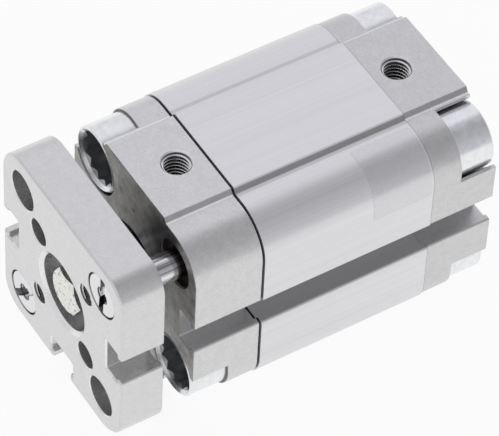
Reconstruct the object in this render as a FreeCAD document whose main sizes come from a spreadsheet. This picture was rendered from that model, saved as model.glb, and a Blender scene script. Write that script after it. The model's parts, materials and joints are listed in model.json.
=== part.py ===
import FreeCAD, Part
import math
import os
import re

import Sketcher

# Compact double-acting air cylinder with a guided yoke plate, drawn retracted, in millimetres.
# The origin is on the cylinder's axis at the rear mounting face, +X runs out along the rod,
# and +Z is the side with the two air ports.

SIZES = {
    # working sizes
    "bore": 25.0,
    "stroke": 20.0,
    "rod_diameter": 10.0,
    "guide_diameter": 5.2,
    "running_gap": 0.03,
    "joint_gap": 0.02,
    # section shared by the barrel and both caps
    "slot_wall": 2.4,
    "corner_radius": 7.4,
    "crown_height": 0.95,
    "crown_inset": 9.9,
    "crown_flank": 0.65,
    "cap_inset": 0.2,
    "screw_inset": 6.9,
    # sensor slots
    "slot_opening": 5.6,
    "slot_width": 7.2,
    "slot_lip": 1.4,
    "slot_depth": 5.0,
    "slot_round": 0.45,
    # caps
    "cap_length": 12.7,
    "spigot_length": 2.0,
    "spigot_gap": 0.05,
    "gasket_thickness": 0.4,
    "gasket_inset": 0.4,
    "seal_section": 1.4,
    "pocket_side": 2.5,
    "pocket_gap": 0.45,
    "centring_diameter": 9.0,
    "centring_depth": 2.1,
    # air ports
    "port_wall": 2.3,
    "port_thread": 5.0,
    "port_depth": 7.5,
    "port_countersink": 0.3,
    "passage_diameter": 2.2,
    "passage_inset": 1.5,
    # collar screws
    "collar_head": 12.0,
    "collar_head_length": 7.0,
    "collar_shank": 8.0,
    "collar_thread_length": 7.6,
    "collar_inner_thread": 5.0,
    "collar_edge": 0.3,
    "collar_recess": 0.1,
    "socket_mouth": 11.3,
    "socket_corners": 10.2,
    "socket_depth": 4.8,
    # front bearing
    "bearing_wall": 1.5,
    "bearing_floor": 2.3,
    "rod_seal_recess": 4.0,
    "rod_seal_width": 3.6,
    "rod_seal_wall": 3.0,
    "rod_seal_lip": 1.0,
    # guides
    "guide_bush_wall": 1.9,
    "guide_bush_recess": 1.2,
    "guide_bush_floor": 1.0,
    "guide_way_gap": 0.5,
    "guide_reach": 39.5,
    "guide_head": 8.0,
    "guide_head_length": 2.6,
    "guide_neck": 7.0,
    "guide_seat_gap": 0.25,
    "guide_tail_chamfer": 0.5,
    "guide_slot_width": 1.4,
    "guide_slot_depth": 1.1,
    "guide_centre_diameter": 2.6,
    "guide_centre_depth": 1.7,
    # end cushions
    "cushion_inset": 2.9,
    "cushion_width": 3.7,
    "cushion_seat": 1.0,
    "cushion_proud": 0.4,
    "end_gap": 0.1,
    # piston
    "piston_length": 8.0,
    "piston_gap": 0.3,
    "piston_flange": 1.1,
    "piston_groove": 2.7,
    "magnet_width": 2.1,
    "wear_gap": 0.08,
    "lip_gap": 0.05,
    "lip_side_gap": 0.1,
    "lip_thickness": 0.6,
    "lip_root": 0.9,
    "rod_spigot": 7.0,
    "rod_spigot_end": 2.3,
    "piston_screw_thread": 4.0,
    "piston_screw_length": 7.0,
    "piston_screw_head": 8.0,
    "piston_screw_sink": 2.0,
    # piston rod
    "rod_seat": 1.0,
    "rod_seat_gap": 0.05,
    "rod_flat_depth": 0.5,
    "rod_flat_length": 4.0,
    "rod_flat_shoulder": 0.6,
    "rod_thread": 5.0,
    "rod_thread_depth": 12.0,
    "rod_chamfer": 0.4,
    # yoke plate
    "plate_inset": 0.25,
    "plate_thickness": 8.0,
    "plate_gap": 5.8,
    "plate_round_big": 6.6,
    "plate_round_small": 4.9,
    "plate_edge": 0.3,
    "access_diameter": 7.3,
    "pin_circle": 22.0,
    "pin_hole": 5.0,
    "tapped_circle": 22.0,
    "tapped_hole": 4.0,
    "hole_chamfer": 0.2,
    "centre_diameter": 14.0,
    "centre_depth": 4.0,
    "centre_chamfer": 0.7,
    "guide_head_gap": 0.2,
    "guide_head_recess": 0.1,
    # plate screw
    "hex_flats": 8.0,
    "hex_height": 3.5,
    "hex_face": 7.5,
    "hex_shank_length": 12.0,
    "hex_slope": 30.0,
    "hex_hole_gap": 0.25,
}

SHEET = "Sizes"

HALF = "(bore / 2 + slot_wall + slot_depth)"
BOLT = f"({HALF} - screw_inset)"
CROWN = f"({HALF} + crown_height - cap_inset)"
PLATE_HALF = f"({HALF} - plate_inset)"
PASSAGE = "(bore / 2 - passage_inset)"
PORT_CENTRE = "(port_wall + port_thread / 2)"
CUSHION_OUTER = "(bore / 2 - cushion_inset)"
CUSHION_INNER = f"({CUSHION_OUTER} - cushion_width)"
HUB = "(bore / 2 - piston_groove)"
BARREL_LENGTH = (
    "(stroke + piston_length + 2 * (spigot_length + cushion_proud + end_gap))"
)
BARREL_FRONT = f"(cap_length + {BARREL_LENGTH})"
FRONT_CAP_REAR = f"({BARREL_FRONT} + gasket_thickness)"
HOUSING_LENGTH = f"({FRONT_CAP_REAR} + cap_length)"
FRONT_SPIGOT_LENGTH = "(spigot_length + gasket_thickness)"
BEARING_LENGTH = (
    f"(cap_length + {FRONT_SPIGOT_LENGTH} - rod_seal_recess - bearing_floor)"
)
PLATE_REAR = f"({HOUSING_LENGTH} + plate_gap)"
PLATE_FRONT = f"({PLATE_REAR} + plate_thickness)"
PISTON_REAR = "(cap_length + spigot_length + cushion_proud + end_gap)"
PISTON_FRONT = f"({PISTON_REAR} + piston_length)"
HALF_LENGTH = "((piston_length - magnet_width) / 2)"
SPIGOT = "(bore / 2 - spigot_gap)"
SEAL_SEAT = f"({SPIGOT} + seal_section)"
SOCKET_SLOPE = "((socket_mouth - socket_corners * cos(30 deg)) / 2 + 0.1)"

HALF_TURN = 180
FULL_TURN = 360
OUTSIDE = 3.0
UPPER_SLOT_TURN = -4.0
LOWER_SLOT_TURN = -45.0
NEAR = 1e-4

os.makedirs("parts", exist_ok=True)
doc = FreeCAD.newDocument("CompactCylinder")
sheet = doc.addObject("Spreadsheet::Sheet", SHEET)
for row, (word, number) in enumerate(SIZES.items(), start=1):
    sheet.set(f"A{row}", word)
    sheet.set(f"B{row}", str(number))
    sheet.setAlias(f"B{row}", word)
doc.recompute()

bodies = []


def linked(text):
    """The expression with the sheet's name put before each size in it."""
    return re.sub(
        "[a-z][a-z_]+",
        lambda word: f"{SHEET}.{word[0]}" if word[0] in SIZES else word[0],
        text,
    )


def value(text):
    """What an expression of sizes comes to, as a number."""
    return float(sheet.evalExpression(linked(text)))


def facing(backwards):
    """The turn of a body drawn for the front end, or turned round for the rear end."""
    return FreeCAD.Rotation(FreeCAD.Vector(0, 0, 1), HALF_TURN if backwards else 0)


def origin_part(body, role):
    return next(part for part in body.Origin.OriginFeatures if part.Role == role)


def new_body(name, x, y="0", z="0", turn=None):
    """An empty body at a place tied to the sheet."""
    body = doc.addObject("PartDesign::Body", name)
    body.Label = name
    if turn is not None:
        body.Placement = FreeCAD.Placement(FreeCAD.Vector(), turn)
    for axis, text in (("x", x), ("y", y), ("z", z)):
        if text != "0":
            body.setExpression(f"Placement.Base.{axis}", linked(text))
    bodies.append(body)
    return body


def new_sketch(body, plane, name, offset="0"):
    """An empty sketch on one of the body's own origin planes, or off it by the offset."""
    sketch = body.newObject("Sketcher::SketchObject", name)
    sketch.AttachmentSupport = [(origin_part(body, plane), "")]
    sketch.MapMode = "FlatFace"
    if offset != "0":
        sketch.setExpression("AttachmentOffset.Base.z", linked(offset))
    return sketch


def across(body, name, offset="0"):
    """A sketch square to the cylinder's axis: its u is Y and its v is Z."""
    return new_sketch(body, "YZ_Plane", name, offset)


def tie(sketch, constraints):
    """Adds constraints, each with the expression that drives it, or None."""
    numbers = sketch.addConstraint([constraint for constraint, text in constraints])
    for number, (constraint, text) in zip(numbers, constraints):
        if text is not None:
            sketch.setExpression(f"Constraints[{number}]", linked(text))


def place_of(geometry, end, u, v):
    """The constraints that hold one point of a sketch at u, v."""
    held = []
    for kind, axis, text in (("DistanceX", -2, u), ("DistanceY", -1, v)):
        if text == "0":
            held.append(
                (Sketcher.Constraint("PointOnObject", geometry, end, axis), None)
            )
        else:
            distance = Sketcher.Constraint(kind, -1, 1, geometry, end, value(text))
            held.append((distance, text))
    return held


def arc_between(start, end, radius, turn):
    """The short arc from start to end that bends to the left or to the right."""
    chord = end - start
    side = FreeCAD.Vector(-chord.y, chord.x, 0).normalize()
    rise = math.sqrt(max(radius**2 - chord.Length**2 / 4, 0))
    centre = (start + end) / 2 + side * (rise if turn == "left" else -rise)
    first, last = (start, end) if turn == "left" else (end, start)
    from_angle = math.atan2(first.y - centre.y, first.x - centre.x)
    to_angle = math.atan2(last.y - centre.y, last.x - centre.x)
    if to_angle < from_angle:
        to_angle += 2 * math.pi
    circle_line = Part.Circle(centre, FreeCAD.Vector(0, 0, 1), radius)
    return Part.ArcOfCircle(circle_line, from_angle, to_angle)


def outline(sketch, corners):
    """Draws a closed outline. A corner is (u, v), or (u, v, radius, turn) where an arc leads
    to it. Every place and radius stays tied to the sheet."""
    points = [
        FreeCAD.Vector(value(corner[0]), value(corner[1]), 0) for corner in corners
    ]
    edges = []
    constraints = []
    for index, corner in enumerate(corners):
        start, end = points[index - 1], points[index]
        if len(corner) == 2:
            line = sketch.addGeometry(Part.LineSegment(start, end))
            edges.append((line, 1, 2))
        else:
            radius, turn = corner[2:]
            arc = sketch.addGeometry(arc_between(start, end, value(radius), turn))
            edges.append((arc, 1, 2) if turn == "left" else (arc, 2, 1))
            constraints.append(
                (Sketcher.Constraint("Radius", arc, value(radius)), radius)
            )
    for index, (edge, _, last) in enumerate(edges):
        following, first, _ = edges[(index + 1) % len(edges)]
        constraints.append(
            (Sketcher.Constraint("Coincident", edge, last, following, first), None)
        )
        constraints += place_of(edge, last, *corners[index][:2])
    tie(sketch, constraints)


def circle(sketch, u, v, diameter):
    """Draws a circle whose centre and diameter stay tied to the sheet."""
    centre = FreeCAD.Vector(value(u), value(v), 0)
    ring = Part.Circle(centre, FreeCAD.Vector(0, 0, 1), value(diameter) / 2)
    number = sketch.addGeometry(ring)
    size = (Sketcher.Constraint("Diameter", number, value(diameter)), diameter)
    tie(sketch, [size] + place_of(number, 3, u, v))


def settle(body, feature):
    """Recomputes, and stops if the feature failed to change the body."""
    before = body.Shape.Volume if body.Shape.Solids else 0.0
    doc.recompute()
    if abs(body.Shape.Volume - before) < NEAR:
        raise RuntimeError(f"{body.Label}: {feature.Label} changes nothing")
    return feature


def pad(body, name, profile, length, backwards=False):
    feature = body.newObject("PartDesign::Pad", name)
    feature.Profile = profile
    feature.Reversed = backwards
    feature.setExpression("Length", linked(length))
    return settle(body, feature)


def pocket(body, name, profile, depth=None, forwards=False):
    """Cuts against the sketch's normal, or along it if forwards, to a depth or right through."""
    feature = body.newObject("PartDesign::Pocket", name)
    feature.Profile = profile
    feature.Reversed = forwards
    if depth is None:
        feature.Type = "ThroughAll"
    else:
        feature.setExpression("Length", linked(depth))
    return settle(body, feature)


def turned(body, name, corners, cut=False):
    """Revolves an outline of (x, radius) corners about the body's X axis."""
    profile = new_sketch(body, "XY_Plane", name + "_profile")
    outline(profile, corners)
    kind = "PartDesign::Groove" if cut else "PartDesign::Revolution"
    feature = body.newObject(kind, name)
    feature.Profile = profile
    feature.ReferenceAxis = (profile, ["H_Axis"])
    feature.Angle = FULL_TURN
    return settle(body, feature)


def repeated(body, name, originals, count, angle):
    """Repeats features about the body's X axis, from +Y towards -Z."""
    pattern = body.newObject("PartDesign::PolarPattern", name)
    pattern.Originals = originals
    pattern.Axis = (origin_part(body, "X_Axis"), [""])
    pattern.Angle = angle
    pattern.Occurrences = count
    pattern.Reversed = True
    body.Tip = pattern
    return settle(body, pattern)


def chamfer(body, name, size, picks):
    """Chamfers the edges of the body's last feature that picks says yes to."""
    base = body.Tip
    edges = [
        f"Edge{number}"
        for number, edge in enumerate(base.Shape.Edges, start=1)
        if picks(edge)
    ]
    if not edges:
        raise RuntimeError(f"{body.Label}: no edge for {name}")
    feature = body.newObject("PartDesign::Chamfer", name)
    feature.Base = (base, edges)
    feature.setExpression("Size", linked(size))
    return settle(body, feature)


def is_ring(edge, diameter, place, axis="x"):
    """Whether an edge is a full circle of that diameter at a place along its axis."""
    if not isinstance(edge.Curve, Part.Circle) or not edge.isClosed():
        return False
    off_place = abs(getattr(edge.Curve.Center, axis) - value(place))
    off_size = abs(edge.Curve.Radius * 2 - value(diameter))
    return abs(getattr(edge.Curve.Axis, axis)) > 0.5 and off_place + off_size < NEAR


def housing_section(body, length, inset="0"):
    """The square profile with round corners and a raised crown, and its three sensor slots."""
    side = f"({HALF} - {inset})"
    straight = f"({HALF} - corner_radius)"
    radius = f"(corner_radius - {inset})"
    top = f"({HALF} + crown_height - {inset})"
    foot_half = f"({HALF} - crown_inset - {inset} / 2)"
    crown_half = f"({foot_half} - crown_flank)"
    section = across(body, "section")
    outline(
        section,
        [
            (straight, f"-{side}"),
            (side, f"-{straight}", radius, "left"),
            (side, straight),
            (straight, side, radius, "left"),
            (foot_half, side),
            (crown_half, top),
            (f"-{crown_half}", top),
            (f"-{foot_half}", side),
            (f"-{straight}", side),
            (f"-{side}", straight, radius, "left"),
            (f"-{side}", f"-{straight}"),
            (f"-{straight}", f"-{side}", radius, "left"),
        ],
    )
    pad(body, "profile", section, length)
    sensor_slots(body, HALF, length, inset)


def sensor_slots(body, side, length, inset="0"):
    """T-shaped slots along X in the right, bottom and left sides, with rounded lips."""
    mouth = "(slot_opening / 2)"
    flare = "(slot_opening / 2 + slot_round)"
    wide = "(slot_width / 2)"
    wide_end = "(slot_width / 2 - slot_round)"
    face = f"({side} - {inset})"
    beyond = f"({side} + {OUTSIDE})"
    mouth_start = f"({face} - slot_round)"
    ledge = f"({side} - slot_lip)"
    floor = f"({side} - slot_depth)"
    floor_start = f"({side} - slot_depth + slot_round)"
    profile = across(body, "slot_profile")
    outline(
        profile,
        [
            (beyond, flare),
            (face, flare),
            (mouth_start, mouth, "slot_round", "right"),
            (ledge, mouth),
            (ledge, wide),
            (floor_start, wide),
            (floor, wide_end, "slot_round", "left"),
            (floor, f"-{wide_end}"),
            (floor_start, f"-{wide}", "slot_round", "left"),
            (ledge, f"-{wide}"),
            (ledge, f"-{mouth}"),
            (mouth_start, f"-{mouth}"),
            (face, f"-{flare}", "slot_round", "right"),
            (beyond, f"-{flare}"),
        ],
    )
    slot = pocket(body, "sensor_slot", profile, length, forwards=True)
    repeated(body, "sensor_slots", [slot], 3, HALF_TURN)


def screw_pockets(body, face, count, angle, forwards):
    """Counterbores for the collar screws, open at the housing's corners, with their holes."""
    upper = -1 if count == 2 else 1
    u = f"({upper} * {BOLT})"
    seat = across(body, "screw_seat", face)
    circle(seat, u, BOLT, "collar_head + 2 * pocket_gap")
    depth = "collar_head_length + collar_recess"
    seat_cut = pocket(body, "screw_seat_cut", seat, depth, forwards)
    corner = across(body, "screw_corner", face)
    inner = f"({BOLT} - pocket_side)"
    outer = f"({HALF} + {OUTSIDE})"
    near = f"({upper} * {inner})"
    far = f"({upper} * {outer})"
    outline(
        corner,
        [
            (near, inner),
            (far, inner),
            (far, outer),
            (near, outer),
        ],
    )
    corner_cut = pocket(body, "screw_corner_cut", corner, depth, forwards)
    hole = across(body, "screw_hole", face)
    circle(hole, u, BOLT, "collar_shank + 2 * joint_gap")
    hole_cut = pocket(body, "screw_hole_cut", hole, "cap_length", forwards)
    cuts = [seat_cut, corner_cut, hole_cut]
    repeated(body, "screw_pockets", cuts, count, angle)


def air_port(body, port_x, passage_mouth):
    """A threaded port in the crown, drilled down to a passage that opens inside the barrel."""
    top = new_sketch(body, "XY_Plane", "port", CROWN)
    circle(top, port_x, "0", "port_thread")
    pocket(body, "port_cut", top, "port_depth")
    drill = new_sketch(body, "XY_Plane", "port_drill", CROWN)
    circle(drill, port_x, "0", "port_thread / 2")
    pocket(body, "port_drill_cut", drill, f"{CROWN} - {PASSAGE}")
    passage = across(body, "passage", passage_mouth)
    circle(passage, "0", PASSAGE, "passage_diameter")
    length = f"sqrt(({passage_mouth} - {port_x}) ^ 2)"
    pocket(body, "passage_cut", passage, length, value(passage_mouth) < value(port_x))
    chamfer(
        body,
        "port_edge",
        "port_countersink",
        lambda edge: is_ring(edge, "port_thread", CROWN, "z"),
    )


def cushion_groove(body, face, forwards):
    """The ring-shaped seat of an end cushion."""
    ring = across(body, "cushion_seat", face)
    circle(ring, "0", "0", f"2 * {CUSHION_OUTER}")
    circle(ring, "0", "0", f"2 * {CUSHION_INNER}")
    pocket(body, "cushion_seat_cut", ring, "cushion_seat", forwards)


def make_rear_cap():
    body = new_body("rear_cap", "0")
    housing_section(body, "cap_length", "cap_inset")
    spigot = across(body, "spigot", "cap_length")
    circle(spigot, "0", "0", f"2 * {SPIGOT}")
    pad(body, "spigot_pad", spigot, "spigot_length")
    screw_pockets(body, "0", 4, FULL_TURN, forwards=True)
    centring = across(body, "centring")
    circle(centring, "0", "0", "centring_diameter")
    pocket(body, "centring_cut", centring, "centring_depth", forwards=True)
    cushion_groove(body, "(cap_length + spigot_length)", forwards=False)
    air_port(body, f"(cap_length - {PORT_CENTRE})", "(cap_length + spigot_length)")


def make_barrel():
    body = new_body("barrel", "cap_length")
    housing_section(body, BARREL_LENGTH)
    tube = across(body, "bore_line")
    circle(tube, "0", "0", "bore")
    pocket(body, "bore_cut", tube, BARREL_LENGTH, forwards=True)
    seat = across(body, "seal_seat")
    circle(seat, "0", "0", f"2 * {SEAL_SEAT}")
    pocket(body, "seal_seat_cut", seat, "seal_section", forwards=True)
    channel = across(body, "corner_channel")
    circle(channel, BOLT, BOLT, "collar_shank + 2 * joint_gap")
    channel_cut = pocket(
        body, "corner_channel_cut", channel, BARREL_LENGTH, forwards=True
    )
    repeated(body, "corner_channels", [channel_cut], 4, FULL_TURN)


def make_front_gasket():
    body = new_body("front_gasket", BARREL_FRONT)
    housing_section(body, "gasket_thickness", "(cap_inset + gasket_inset)")
    opening = across(body, "openings")
    circle(opening, "0", "0", "bore")
    for side, other in (("", "-"), ("-", "")):
        place = f"{side}{BOLT}"
        circle(opening, place, f"{other}{BOLT}", "collar_shank + pocket_gap")
        circle(opening, place, place, "guide_diameter + 2 * guide_way_gap")
    pocket(body, "opening_cuts", opening, "gasket_thickness", forwards=True)


def make_front_cap():
    body = new_body("front_cap", FRONT_CAP_REAR)
    housing_section(body, "cap_length", "cap_inset")
    spigot = across(body, "spigot")
    circle(spigot, "0", "0", f"2 * {SPIGOT}")
    length = FRONT_SPIGOT_LENGTH
    pad(body, "spigot_pad", spigot, length, backwards=True)
    screw_pockets(body, "cap_length", 2, HALF_TURN, forwards=False)
    seal = across(body, "seal_recess", "cap_length")
    circle(seal, "0", "0", "rod_diameter + 2 * rod_seal_wall")
    pocket(body, "seal_recess_cut", seal, "rod_seal_recess")
    bearing = across(body, "bearing_seat", "cap_length")
    circle(bearing, "0", "0", "rod_diameter + 2 * bearing_wall")
    pocket(body, "bearing_seat_cut", bearing, f"rod_seal_recess + {BEARING_LENGTH}")
    way = across(body, "rod_way", "cap_length")
    circle(way, "0", "0", "rod_diameter + 2 * guide_way_gap")
    pocket(body, "rod_way_cut", way, f"cap_length + {length}")
    guides = across(body, "guide_bores", "cap_length")
    ways = across(body, "guide_ways", "cap_length")
    for side in ("", "-"):
        place = f"{side}{BOLT}"
        circle(guides, place, place, "guide_diameter + 2 * guide_bush_wall")
        circle(ways, place, place, "guide_diameter + 2 * guide_way_gap")
    pocket(body, "guide_bore_cuts", guides, "cap_length - guide_bush_floor")
    pocket(body, "guide_way_cuts", ways, "cap_length")
    cushion_groove(body, f"(0 - {length})", forwards=True)
    air_port(body, PORT_CENTRE, f"(0 - {length})")


def make_seal_ring():
    """A round-section ring in the corner between the rear cap's spigot and the barrel."""
    body = new_body("rear_seal_ring", "cap_length")
    section = new_sketch(body, "XY_Plane", "section")
    middle = f"({SPIGOT} + seal_section / 2)"
    circle(section, "seal_section / 2", middle, "seal_section - 2 * joint_gap")
    ring = body.newObject("PartDesign::Revolution", "ring")
    ring.Profile = section
    ring.ReferenceAxis = (section, ["H_Axis"])
    ring.Angle = FULL_TURN
    settle(body, ring)


def make_collar_screw(name, x, y, z, backwards):
    """A hollow screw whose round head has a 12-point socket behind a coned mouth."""
    body = new_body(name, x, y, z, facing(backwards))
    seat_to_barrel = "(cap_length - collar_head_length - collar_recess)"
    gasket = "0" if backwards else "gasket_thickness"
    reach = (
        f"(collar_head_length + {seat_to_barrel} + {gasket} + collar_thread_length)"
    )
    head = "(collar_head / 2)"
    shank = "(collar_shank / 2)"
    hole = "(collar_inner_thread / 2)"
    turned(
        body,
        "screw",
        [
            ("0", "(socket_mouth / 2)"),
            ("0", f"({head} - collar_edge)"),
            ("-collar_edge", head),
            ("-collar_head_length", head),
            ("-collar_head_length", shank),
            (f"(collar_edge - {reach})", shank),
            (f"-{reach}", f"({shank} - collar_edge)"),
            (f"-{reach}", hole),
            (f"-{SOCKET_SLOPE}", hole),
            (f"-{SOCKET_SLOPE}", f"(socket_mouth / 2 - {SOCKET_SLOPE})"),
        ],
    )
    star = across(body, "socket")
    corners = []
    for point in range(12):
        angle = f"{point * 30} deg"
        between = f"{point * 30 + 15} deg"
        inner = "(socket_corners / 2 * cos(30 deg) / cos(15 deg))"
        corners.append(
            (
                f"(socket_corners / 2 * cos({angle}))",
                f"(socket_corners / 2 * sin({angle}))",
            )
        )
        corners.append((f"({inner} * cos({between}))", f"({inner} * sin({between}))"))
    outline(star, corners)
    pocket(body, "socket_cut", star, "socket_depth")


def make_bush(name, x, y, z, inner, wall, length):
    body = new_body(name, x, y, z)
    inside = f"({inner} / 2 + running_gap)"
    outside = f"({inner} / 2 + {wall})"
    turned(
        body,
        "bush",
        [
            ("0", inside),
            (f"({length} - rod_chamfer)", inside),
            (length, f"({inside} + rod_chamfer)"),
            (length, outside),
            ("0", outside),
        ],
    )


def make_rod_seal():
    """The rod's wiper: a body ring with a lip that leans out along the rod."""
    body = new_body("rod_seal", f"({HOUSING_LENGTH} - rod_seal_recess)")
    lip = "(rod_diameter / 2 + lip_gap)"
    clear = "(rod_diameter / 2 + rod_seal_lip)"
    outside = "(rod_diameter / 2 + rod_seal_wall - joint_gap)"
    turned(
        body,
        "seal",
        [
            ("0", outside),
            ("0", clear),
            ("(lip_thickness)", lip),
            ("(2 * lip_thickness)", clear),
            ("(rod_seal_width - 2 * lip_thickness)", clear),
            ("(rod_seal_width - lip_thickness / 2)", lip),
            ("rod_seal_width", lip),
            ("rod_seal_width", "(rod_diameter / 2 + 1.5 * lip_thickness)"),
            (
                "(rod_seal_width - lip_thickness)",
                "(rod_diameter / 2 + rod_seal_wall / 2)",
            ),
            ("(rod_seal_width - lip_thickness)", outside),
        ],
    )


def make_cushion(name, x):
    body = new_body(name, x)
    turned(
        body,
        "cushion",
        [
            ("0", CUSHION_INNER),
            ("(cushion_seat + cushion_proud)", CUSHION_INNER),
            ("(cushion_seat + cushion_proud)", CUSHION_OUTER),
            ("0", CUSHION_OUTER),
        ],
    )


def make_piston_rod():
    """The rod, from the piston's screw to the plate, with spanner flats and end threads."""
    body = new_body("piston_rod", PISTON_FRONT)
    end = f"({PLATE_REAR} + rod_seat - {PISTON_FRONT})"
    spigot_end = "(piston_length - rod_spigot_end)"
    rod = "(rod_diameter / 2)"
    front_thread = "(rod_thread / 2 + joint_gap)"
    rear_thread = "(piston_screw_thread / 2 + joint_gap)"
    rear_depth = "(piston_screw_length + 1)"
    turned(
        body,
        "rod",
        [
            (f"-{spigot_end}", rear_thread),
            (f"({rear_depth} - {spigot_end})", rear_thread),
            (f"({rear_depth} - {spigot_end})", "0"),
            (f"({end} - rod_thread_depth)", "0"),
            (f"({end} - rod_thread_depth)", front_thread),
            (end, front_thread),
            (end, f"({rod} - rod_chamfer)"),
            (f"({end} - rod_chamfer)", rod),
            ("0", rod),
            ("0", "(rod_spigot / 2)"),
            (f"-{spigot_end}", "(rod_spigot / 2)"),
        ],
    )
    start = f"({HOUSING_LENGTH} + rod_flat_shoulder - {PISTON_FRONT})"
    flats = across(body, "flats", start)
    for side in (1, -1):
        near = f"({side} * (rod_diameter / 2 - rod_flat_depth))"
        far = f"({side} * (rod_diameter / 2 + 1))"
        outline(
            flats,
            [
                (near, "-rod_diameter / 2"),
                (far, "-rod_diameter / 2"),
                (far, "(rod_diameter / 2)"),
                (near, "(rod_diameter / 2)"),
            ],
        )
    pocket(body, "flat_cuts", flats, "rod_flat_length", forwards=True)


def make_piston_half(name, x, backwards):
    """Half of the piston: an outer flange and a hub that carries the lip seal."""
    body = new_body(name, x, turn=facing(backwards))
    flange = "(bore / 2 - piston_gap)"
    spigot = "(rod_spigot / 2 + joint_gap)"
    if backwards:
        narrow = "(piston_screw_thread / 2 + joint_gap)"
        wide = "(piston_screw_head / 2)"
        inner = [
            (HALF_LENGTH, wide),
            (f"({HALF_LENGTH} - piston_screw_sink)", narrow),
            (f"({HALF_LENGTH} - rod_spigot_end + joint_gap)", narrow),
            (f"({HALF_LENGTH} - rod_spigot_end + joint_gap)", spigot),
        ]
    else:
        inner = [(HALF_LENGTH, spigot)]
    turned(
        body,
        "half",
        [
            ("0", spigot),
            ("0", HUB),
            (f"({HALF_LENGTH} - piston_flange)", HUB),
            (f"({HALF_LENGTH} - piston_flange)", flange),
            (f"({HALF_LENGTH} - rod_chamfer)", flange),
            (HALF_LENGTH, f"({flange} - rod_chamfer)"),
        ]
        + inner,
    )


def make_magnet():
    body = new_body("piston_magnet", f"({PISTON_REAR} + {HALF_LENGTH})")
    inside = "(rod_spigot / 2 + joint_gap)"
    turned(
        body,
        "magnet",
        [
            ("0", inside),
            ("magnet_width", inside),
            ("magnet_width", HUB),
            ("0", HUB),
        ],
    )


def make_wear_ring():
    body = new_body("piston_wear_ring", f"({PISTON_REAR} + {HALF_LENGTH})")
    outside = "(bore / 2 - wear_gap)"
    turned(
        body,
        "wear_ring",
        [
            ("0", HUB),
            ("magnet_width", HUB),
            ("magnet_width", outside),
            ("0", outside),
        ],
    )


def make_piston_seal(name, x, backwards):
    """A lip seal on the piston's hub, its lips open towards the pressure."""
    body = new_body(name, x, turn=facing(backwards))
    width = f"({HALF_LENGTH} - piston_flange - lip_side_gap)"
    lip = "(bore / 2 - lip_gap)"
    turned(
        body,
        "lip_seal",
        [
            ("0", HUB),
            (width, HUB),
            (width, f"({HUB} + lip_thickness)"),
            ("lip_root", f"({HUB} + lip_thickness)"),
            ("lip_root", f"({lip} - 2 * lip_thickness)"),
            (width, f"({lip} - lip_thickness)"),
            (width, lip),
            ("(lip_root / 2)", f"({lip} - lip_thickness / 2)"),
            ("0", f"({lip} - lip_thickness / 2)"),
        ],
    )


def make_piston_screw():
    """A countersunk screw that clamps the piston on the rod, its head flush at the rear."""
    body = new_body("piston_screw", PISTON_REAR)
    thread = "(piston_screw_thread / 2)"
    end = "(rod_spigot_end + piston_screw_length)"
    turned(
        body,
        "screw",
        [
            ("0", "0"),
            ("0", "(piston_screw_head / 2 - joint_gap)"),
            ("(piston_screw_sink - joint_gap)", thread),
            (f"({end} - rod_chamfer)", thread),
            (end, f"({thread} - rod_chamfer)"),
            (end, "0"),
        ],
    )


def make_yoke_plate():
    """The square plate on the rod: slots as in the housing, and its holes on the diagonals."""
    body = new_body("yoke_plate", PLATE_REAR)
    side = PLATE_HALF
    big = f"({PLATE_HALF} - plate_round_big)"
    small = f"({PLATE_HALF} - plate_round_small)"
    section = across(body, "section")
    outline(
        section,
        [
            (big, f"-{side}"),
            (side, f"-{big}", "plate_round_big", "left"),
            (side, small),
            (small, side, "plate_round_small", "left"),
            (f"-{big}", side),
            (f"-{side}", big, "plate_round_big", "left"),
            (f"-{side}", f"-{small}"),
            (f"-{small}", f"-{side}", "plate_round_small", "left"),
        ],
    )
    pad(body, "plate", section, "plate_thickness")
    sensor_slots(body, side, "plate_thickness")
    chamfer(
        body,
        "front_edge",
        "plate_edge",
        lambda edge: edge.BoundBox.XMin > value("plate_thickness") - NEAR,
    )
    pin = "(pin_circle / 2 * cos(45 deg))"
    tapped = "(tapped_circle / 2 * cos(45 deg))"
    holes = across(body, "holes", "plate_thickness")
    circle(holes, "0", "0", "rod_thread + 2 * hex_hole_gap")
    for side_sign, other in (("", "-"), ("-", "")):
        circle(holes, f"{side_sign}{BOLT}", f"{other}{BOLT}", "access_diameter")
        circle(holes, f"{side_sign}{pin}", f"{other}{pin}", "pin_hole")
        circle(holes, f"{side_sign}{tapped}", f"{side_sign}{tapped}", "tapped_hole")
    pocket(body, "hole_cuts", holes, "plate_thickness")
    floor = "(plate_thickness - centre_depth)"
    turned(
        body,
        "centre_bore",
        [
            (floor, "0"),
            (floor, "(centre_diameter / 2)"),
            ("(plate_thickness - centre_chamfer)", "(centre_diameter / 2)"),
            ("plate_thickness", "(centre_diameter / 2 + centre_chamfer)"),
            ("plate_thickness", "0"),
        ],
        cut=True,
    )
    necks = across(body, "guide_neck_holes", "plate_thickness")
    heads = across(body, "guide_head_seats", "plate_thickness")
    for side_sign in ("", "-"):
        place = f"{side_sign}{BOLT}"
        circle(necks, place, place, "guide_neck + 2 * joint_gap")
        circle(heads, place, place, "guide_head + 2 * guide_head_gap")
    pocket(body, "guide_neck_cuts", necks, "plate_thickness")
    pocket(body, "guide_head_cuts", heads, "guide_head_length + guide_head_recess")
    rod_end = across(body, "rod_seat")
    circle(rod_end, "0", "0", "rod_diameter + 2 * rod_seat_gap")
    pocket(body, "rod_seat_cut", rod_end, "rod_seat", forwards=True)
    chamfer(
        body,
        "hole_edges",
        "hole_chamfer",
        lambda edge: any(
            is_ring(edge, width, "plate_thickness")
            for width in ("access_diameter", "pin_hole", "tapped_hole")
        ),
    )


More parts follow.
